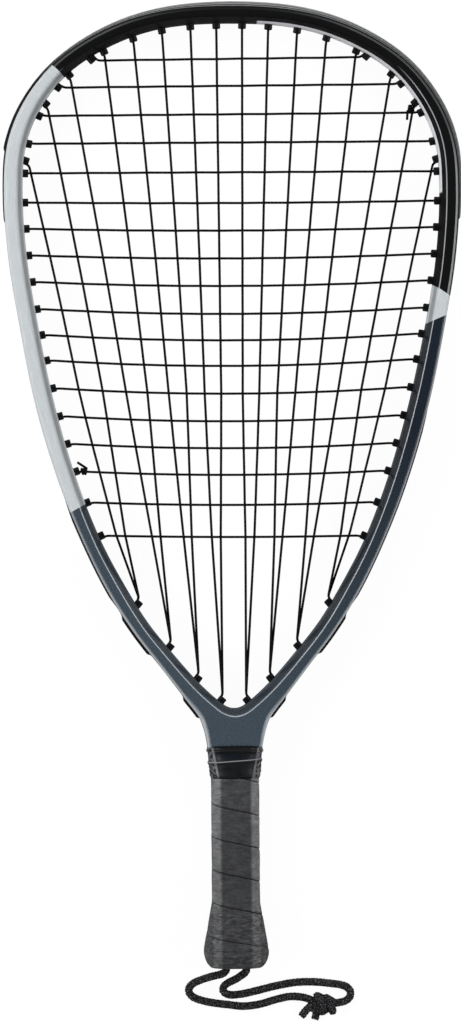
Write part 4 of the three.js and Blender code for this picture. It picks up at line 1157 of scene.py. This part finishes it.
collar = {
    "start": 110 * mm, "length": 17 * mm,
    "width": (28.6 * mm, 31.9 * mm), "depth": (27 * mm, 27.4 * mm),   # at its start and at its top
    "soften": 2.6 * mm, "around": 72, "inset": 1.2 * mm,
    # share of the length, how far it stands proud
    "profile": ((0, -0.5), (0.015, -0.1), (0.07, 0.25), (0.14, 0.1), (0.22, 0.28), (0.3, 0.02),
                (0.37, 0.3), (0.44, 0.12), (0.5, 0.36), (0.535, 0.62), (0.56, 0.66), (0.585, 0.3),
                (0.62, 0), (0.72, -0.05), (0.82, 0), (0.855, 0.1), (0.87, 0.5), (0.91, 0.66),
                (0.95, 0.5), (0.965, 0.1), (0.99, 0.06), (1.03, 0), (1.045, -0.5)),
    "tilt": 0.06,          # the middle ridge is higher at the right, as a share of the length
    "ragged": 0.035, "raggedTo": 0.2,
    "loose": 0.27, "ridge": 0.55, "ridgeReach": 0.3,   # where it crumples, and where the ridge lies
    "crumple": 0.3 * mm,
    # the blue band's edge, a painted highlight line under it, and the top rib
    "band": ((-15, -160.2), (15, -158.2)), "line": ((-15, -160.7), (15, -158.7)),
    "rib": ((-15, -154.9), (15, -154.9)),
    # painted sheen on the bevels: where it starts, how it leans, and its mottled part and streak
    "paintedSheenFrom": 9.4 * mm, "paintedSheenLean": 0.19,
    "sheenMottling": (2.4 * mm, 2.9 * mm), "paintedStreak": (0.6 * mm, 0.8 * mm),   # how far from there, how wide
}


def collarMaterial():
    material, place = newMaterial("collarRubber", (3 * mm, 0.38, 0.6), Specular_IOR_Level=0.26)
    band, line, rib = (aboveLine(place, collar[edge]) for edge in ("band", "line", "rib"))
    color = mixed(band, (0.005, 0.0055, 0.007), (0.0025, 0.005, 0.0095))
    color = mixed(rib, color, (0.002, 0.002, 0.002))
    # painted highlight: a pale line under the blue band
    color = mixed(times(line, minus(1.0, band), 0.8), color, (0.34, 0.35, 0.37))
    # painted sheen on the bevels: a highlight streak along their inner edge, which leans out upwards, and
    # mottled highlights beside it
    lean = collar["paintedSheenLean"]
    edge = minus(mathOn("ABSOLUTE", axisOf(place, "X")), times(axisOf(place, "Y"), lean))
    start = collar["paintedSheenFrom"] - (buttEnd + collar["start"]) * lean
    beside, inner = (nearLevels(edge, (start + off,), wide)
                     for off, wide in (collar["sheenMottling"], collar["paintedStreak"]))
    paintedMottling = times(beside, ramp(noise(place, 2 * mm), 0, 1, 0.44, 0.66), 0.55)
    paintedStreak = times(inner, ramp(noise(place, 5 * mm), 0.25, 0.75))
    plug(mixed(mathOn("MAXIMUM", paintedMottling, paintedStreak), color, (0.36, 0.37, 0.39)), "Base Color")
    bump(plus(noise(place, 0.4 * mm), times(noise(place, 2 * mm), 0.7)), 0.08 * mm)
    return material


def addCollar():
    rings = []
    for n in range(collar["around"]):
        share = n / collar["around"]
        ring = []
        for part, proud in collar["profile"]:
            width, depth = (low + (high - low) * part for low, high in (collar["width"], collar["depth"]))
            loose = max(0, 1 - abs(part - collar["loose"]) / collar["loose"])
            out = proud * mm + collar["crumple"] * ripple(share, part * 6, 0.35) * loose
            corners = octagon(width / 2 + out, depth / 2 + out, handle["bevel"])
            point = softPoint(corners, share, collar["soften"], collar["start"])
            sideways = point.x / (collar["width"][1] / 2)
            onRidge = max(0, 1 - abs(part - collar["ridge"]) / collar["ridgeReach"])
            slope = collar["tilt"] * sideways * onRidge
            ragged = collar["ragged"] * ripple(share, 0, 1) * max(0, 1 - part / collar["raggedTo"])
            point.y += (part + slope + ragged) * collar["length"]
            ring.append(point)
        inner = gripCorners(handle["flareTop"], collar["inset"])
        ring += [softPoint(inner, share, handle["soften"], collar["start"] + part * collar["length"])
                 for part in (1, 0.5, 0)]
        rings.append(ring)
    piece = sweepRings("gripCollar", rings)
    shadeSmooth(60)
    placePiece(piece, "collar_rubber", collarMaterial())


gripRubber = rubberMaterial()
addGrip(gripRubber)
addCap(gripRubber)
addCollar()
print("handle dressed")


# The hidden solids keep their shapes: foam pallets, staples and finishing tape
def dressNodes():
    foam = grainyMaterial("palletFoam", ((0.035, 0.034, 0.033), (0.07, 0.068, 0.065)), (1.2 * mm, 4),
                          (0.4 * mm, 4, 0.15 * mm), 0.9)
    steel, _ = newMaterial("stapleSteel", (0.8 * mm, 0.2, 0.42), Metallic=1,
                           Base_Color=(0.55, 0.56, 0.58, 1))
    tape = grainyMaterial("clothTape", ((0.014, 0.014, 0.016), (0.04, 0.04, 0.043)), (0.3 * mm, 3),
                          (0.3 * mm, 3, 0.06 * mm), 0.8)
    for material, names in ((foam, ("handle_pallet_front", "handle_pallet_back")),
                            (steel, ("butt_cap_staple_front", "butt_cap_staple_back")),
                            (tape, ("finishing_tape",))):
        for name in names:
            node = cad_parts[name]
            node.data.materials.clear()
            node.data.materials.append(material)


dressNodes()


# Floor and lights
stage = {
    "floorDrop": 0.15 * mm, "floorSize": 6, "paper": (0.62, 0.62, 0.62, 1),
    # the floor's own light and how much of it the camera sees
    "glow": 1.1, "glowSeen": 0.86,
    "world": (0.78, 0.8, 0.84), "worldStrength": 0.03,
    # place, size across and along, power in watts
    "lights": (
        ("leftLight", (-1.4, 0.1, 1.0), 0.8, 1.9, 24),
        ("rightLight", (1.4, 0.1, 1.0), 0.8, 1.9, 20),
        ("headLight", (-0.1, 1.6, 1.1), 1.4, 0.6, 9),
        ("footLight", (0.2, -1.6, 1.2), 1.2, 0.5, 3),
    ),
}


def addStage():
    bpy.ops.object.select_all(action="DESELECT")
    bpy.ops.mesh.primitive_plane_add(size=stage["floorSize"], location=(0, 0, -stage["floorDrop"]))
    floor = bpy.context.object
    floor.name = "floor"
    material = bpy.data.materials.new("floor")
    material.use_nodes = True
    tree = material.node_tree
    tree.nodes.clear()
    paper = addNode(tree, "ShaderNodeBsdfDiffuse", {"Color": stage["paper"]})[0]
    white = addNode(tree, "ShaderNodeEmission", {"Strength": stage["glow"]})[0]
    share = times(addNode(tree, "ShaderNodeLightPath", {})["Is Camera Ray"], stage["glowSeen"])
    surface = addNode(tree, "ShaderNodeMixShader", {0: share, 1: paper, 2: white})[0]
    addNode(tree, "ShaderNodeOutputMaterial", {"Surface": surface})
    floor.data.materials.append(material)
    for name, place, across, along, power in stage["lights"]:
        bpy.ops.object.light_add(type="AREA", location=place)
        light = bpy.context.object
        light.name = name
        light.data.shape = "RECTANGLE"
        light.data.size, light.data.size_y = across, along
        light.data.energy = power
        away = (Vector(place) - Vector((0, place[1] * 0.3, 0))).normalized()
        side = (Vector((0, 1, 0)) if abs(place[0]) > 0.5 else up).cross(away).normalized()
        light.matrix_world = Matrix.Translation(place) @ turnTo(side, away.cross(side), away)
    world = bpy.data.worlds.new("studio")
    world.use_nodes = True
    background = world.node_tree.nodes["Background"]
    background.inputs["Color"].default_value = (*stage["world"], 1)
    background.inputs["Strength"].default_value = stage["worldStrength"]
    bpy.context.scene.world = world
    bpy.context.scene.view_settings.view_transform = "Standard"


addStage()
print("stage lit")
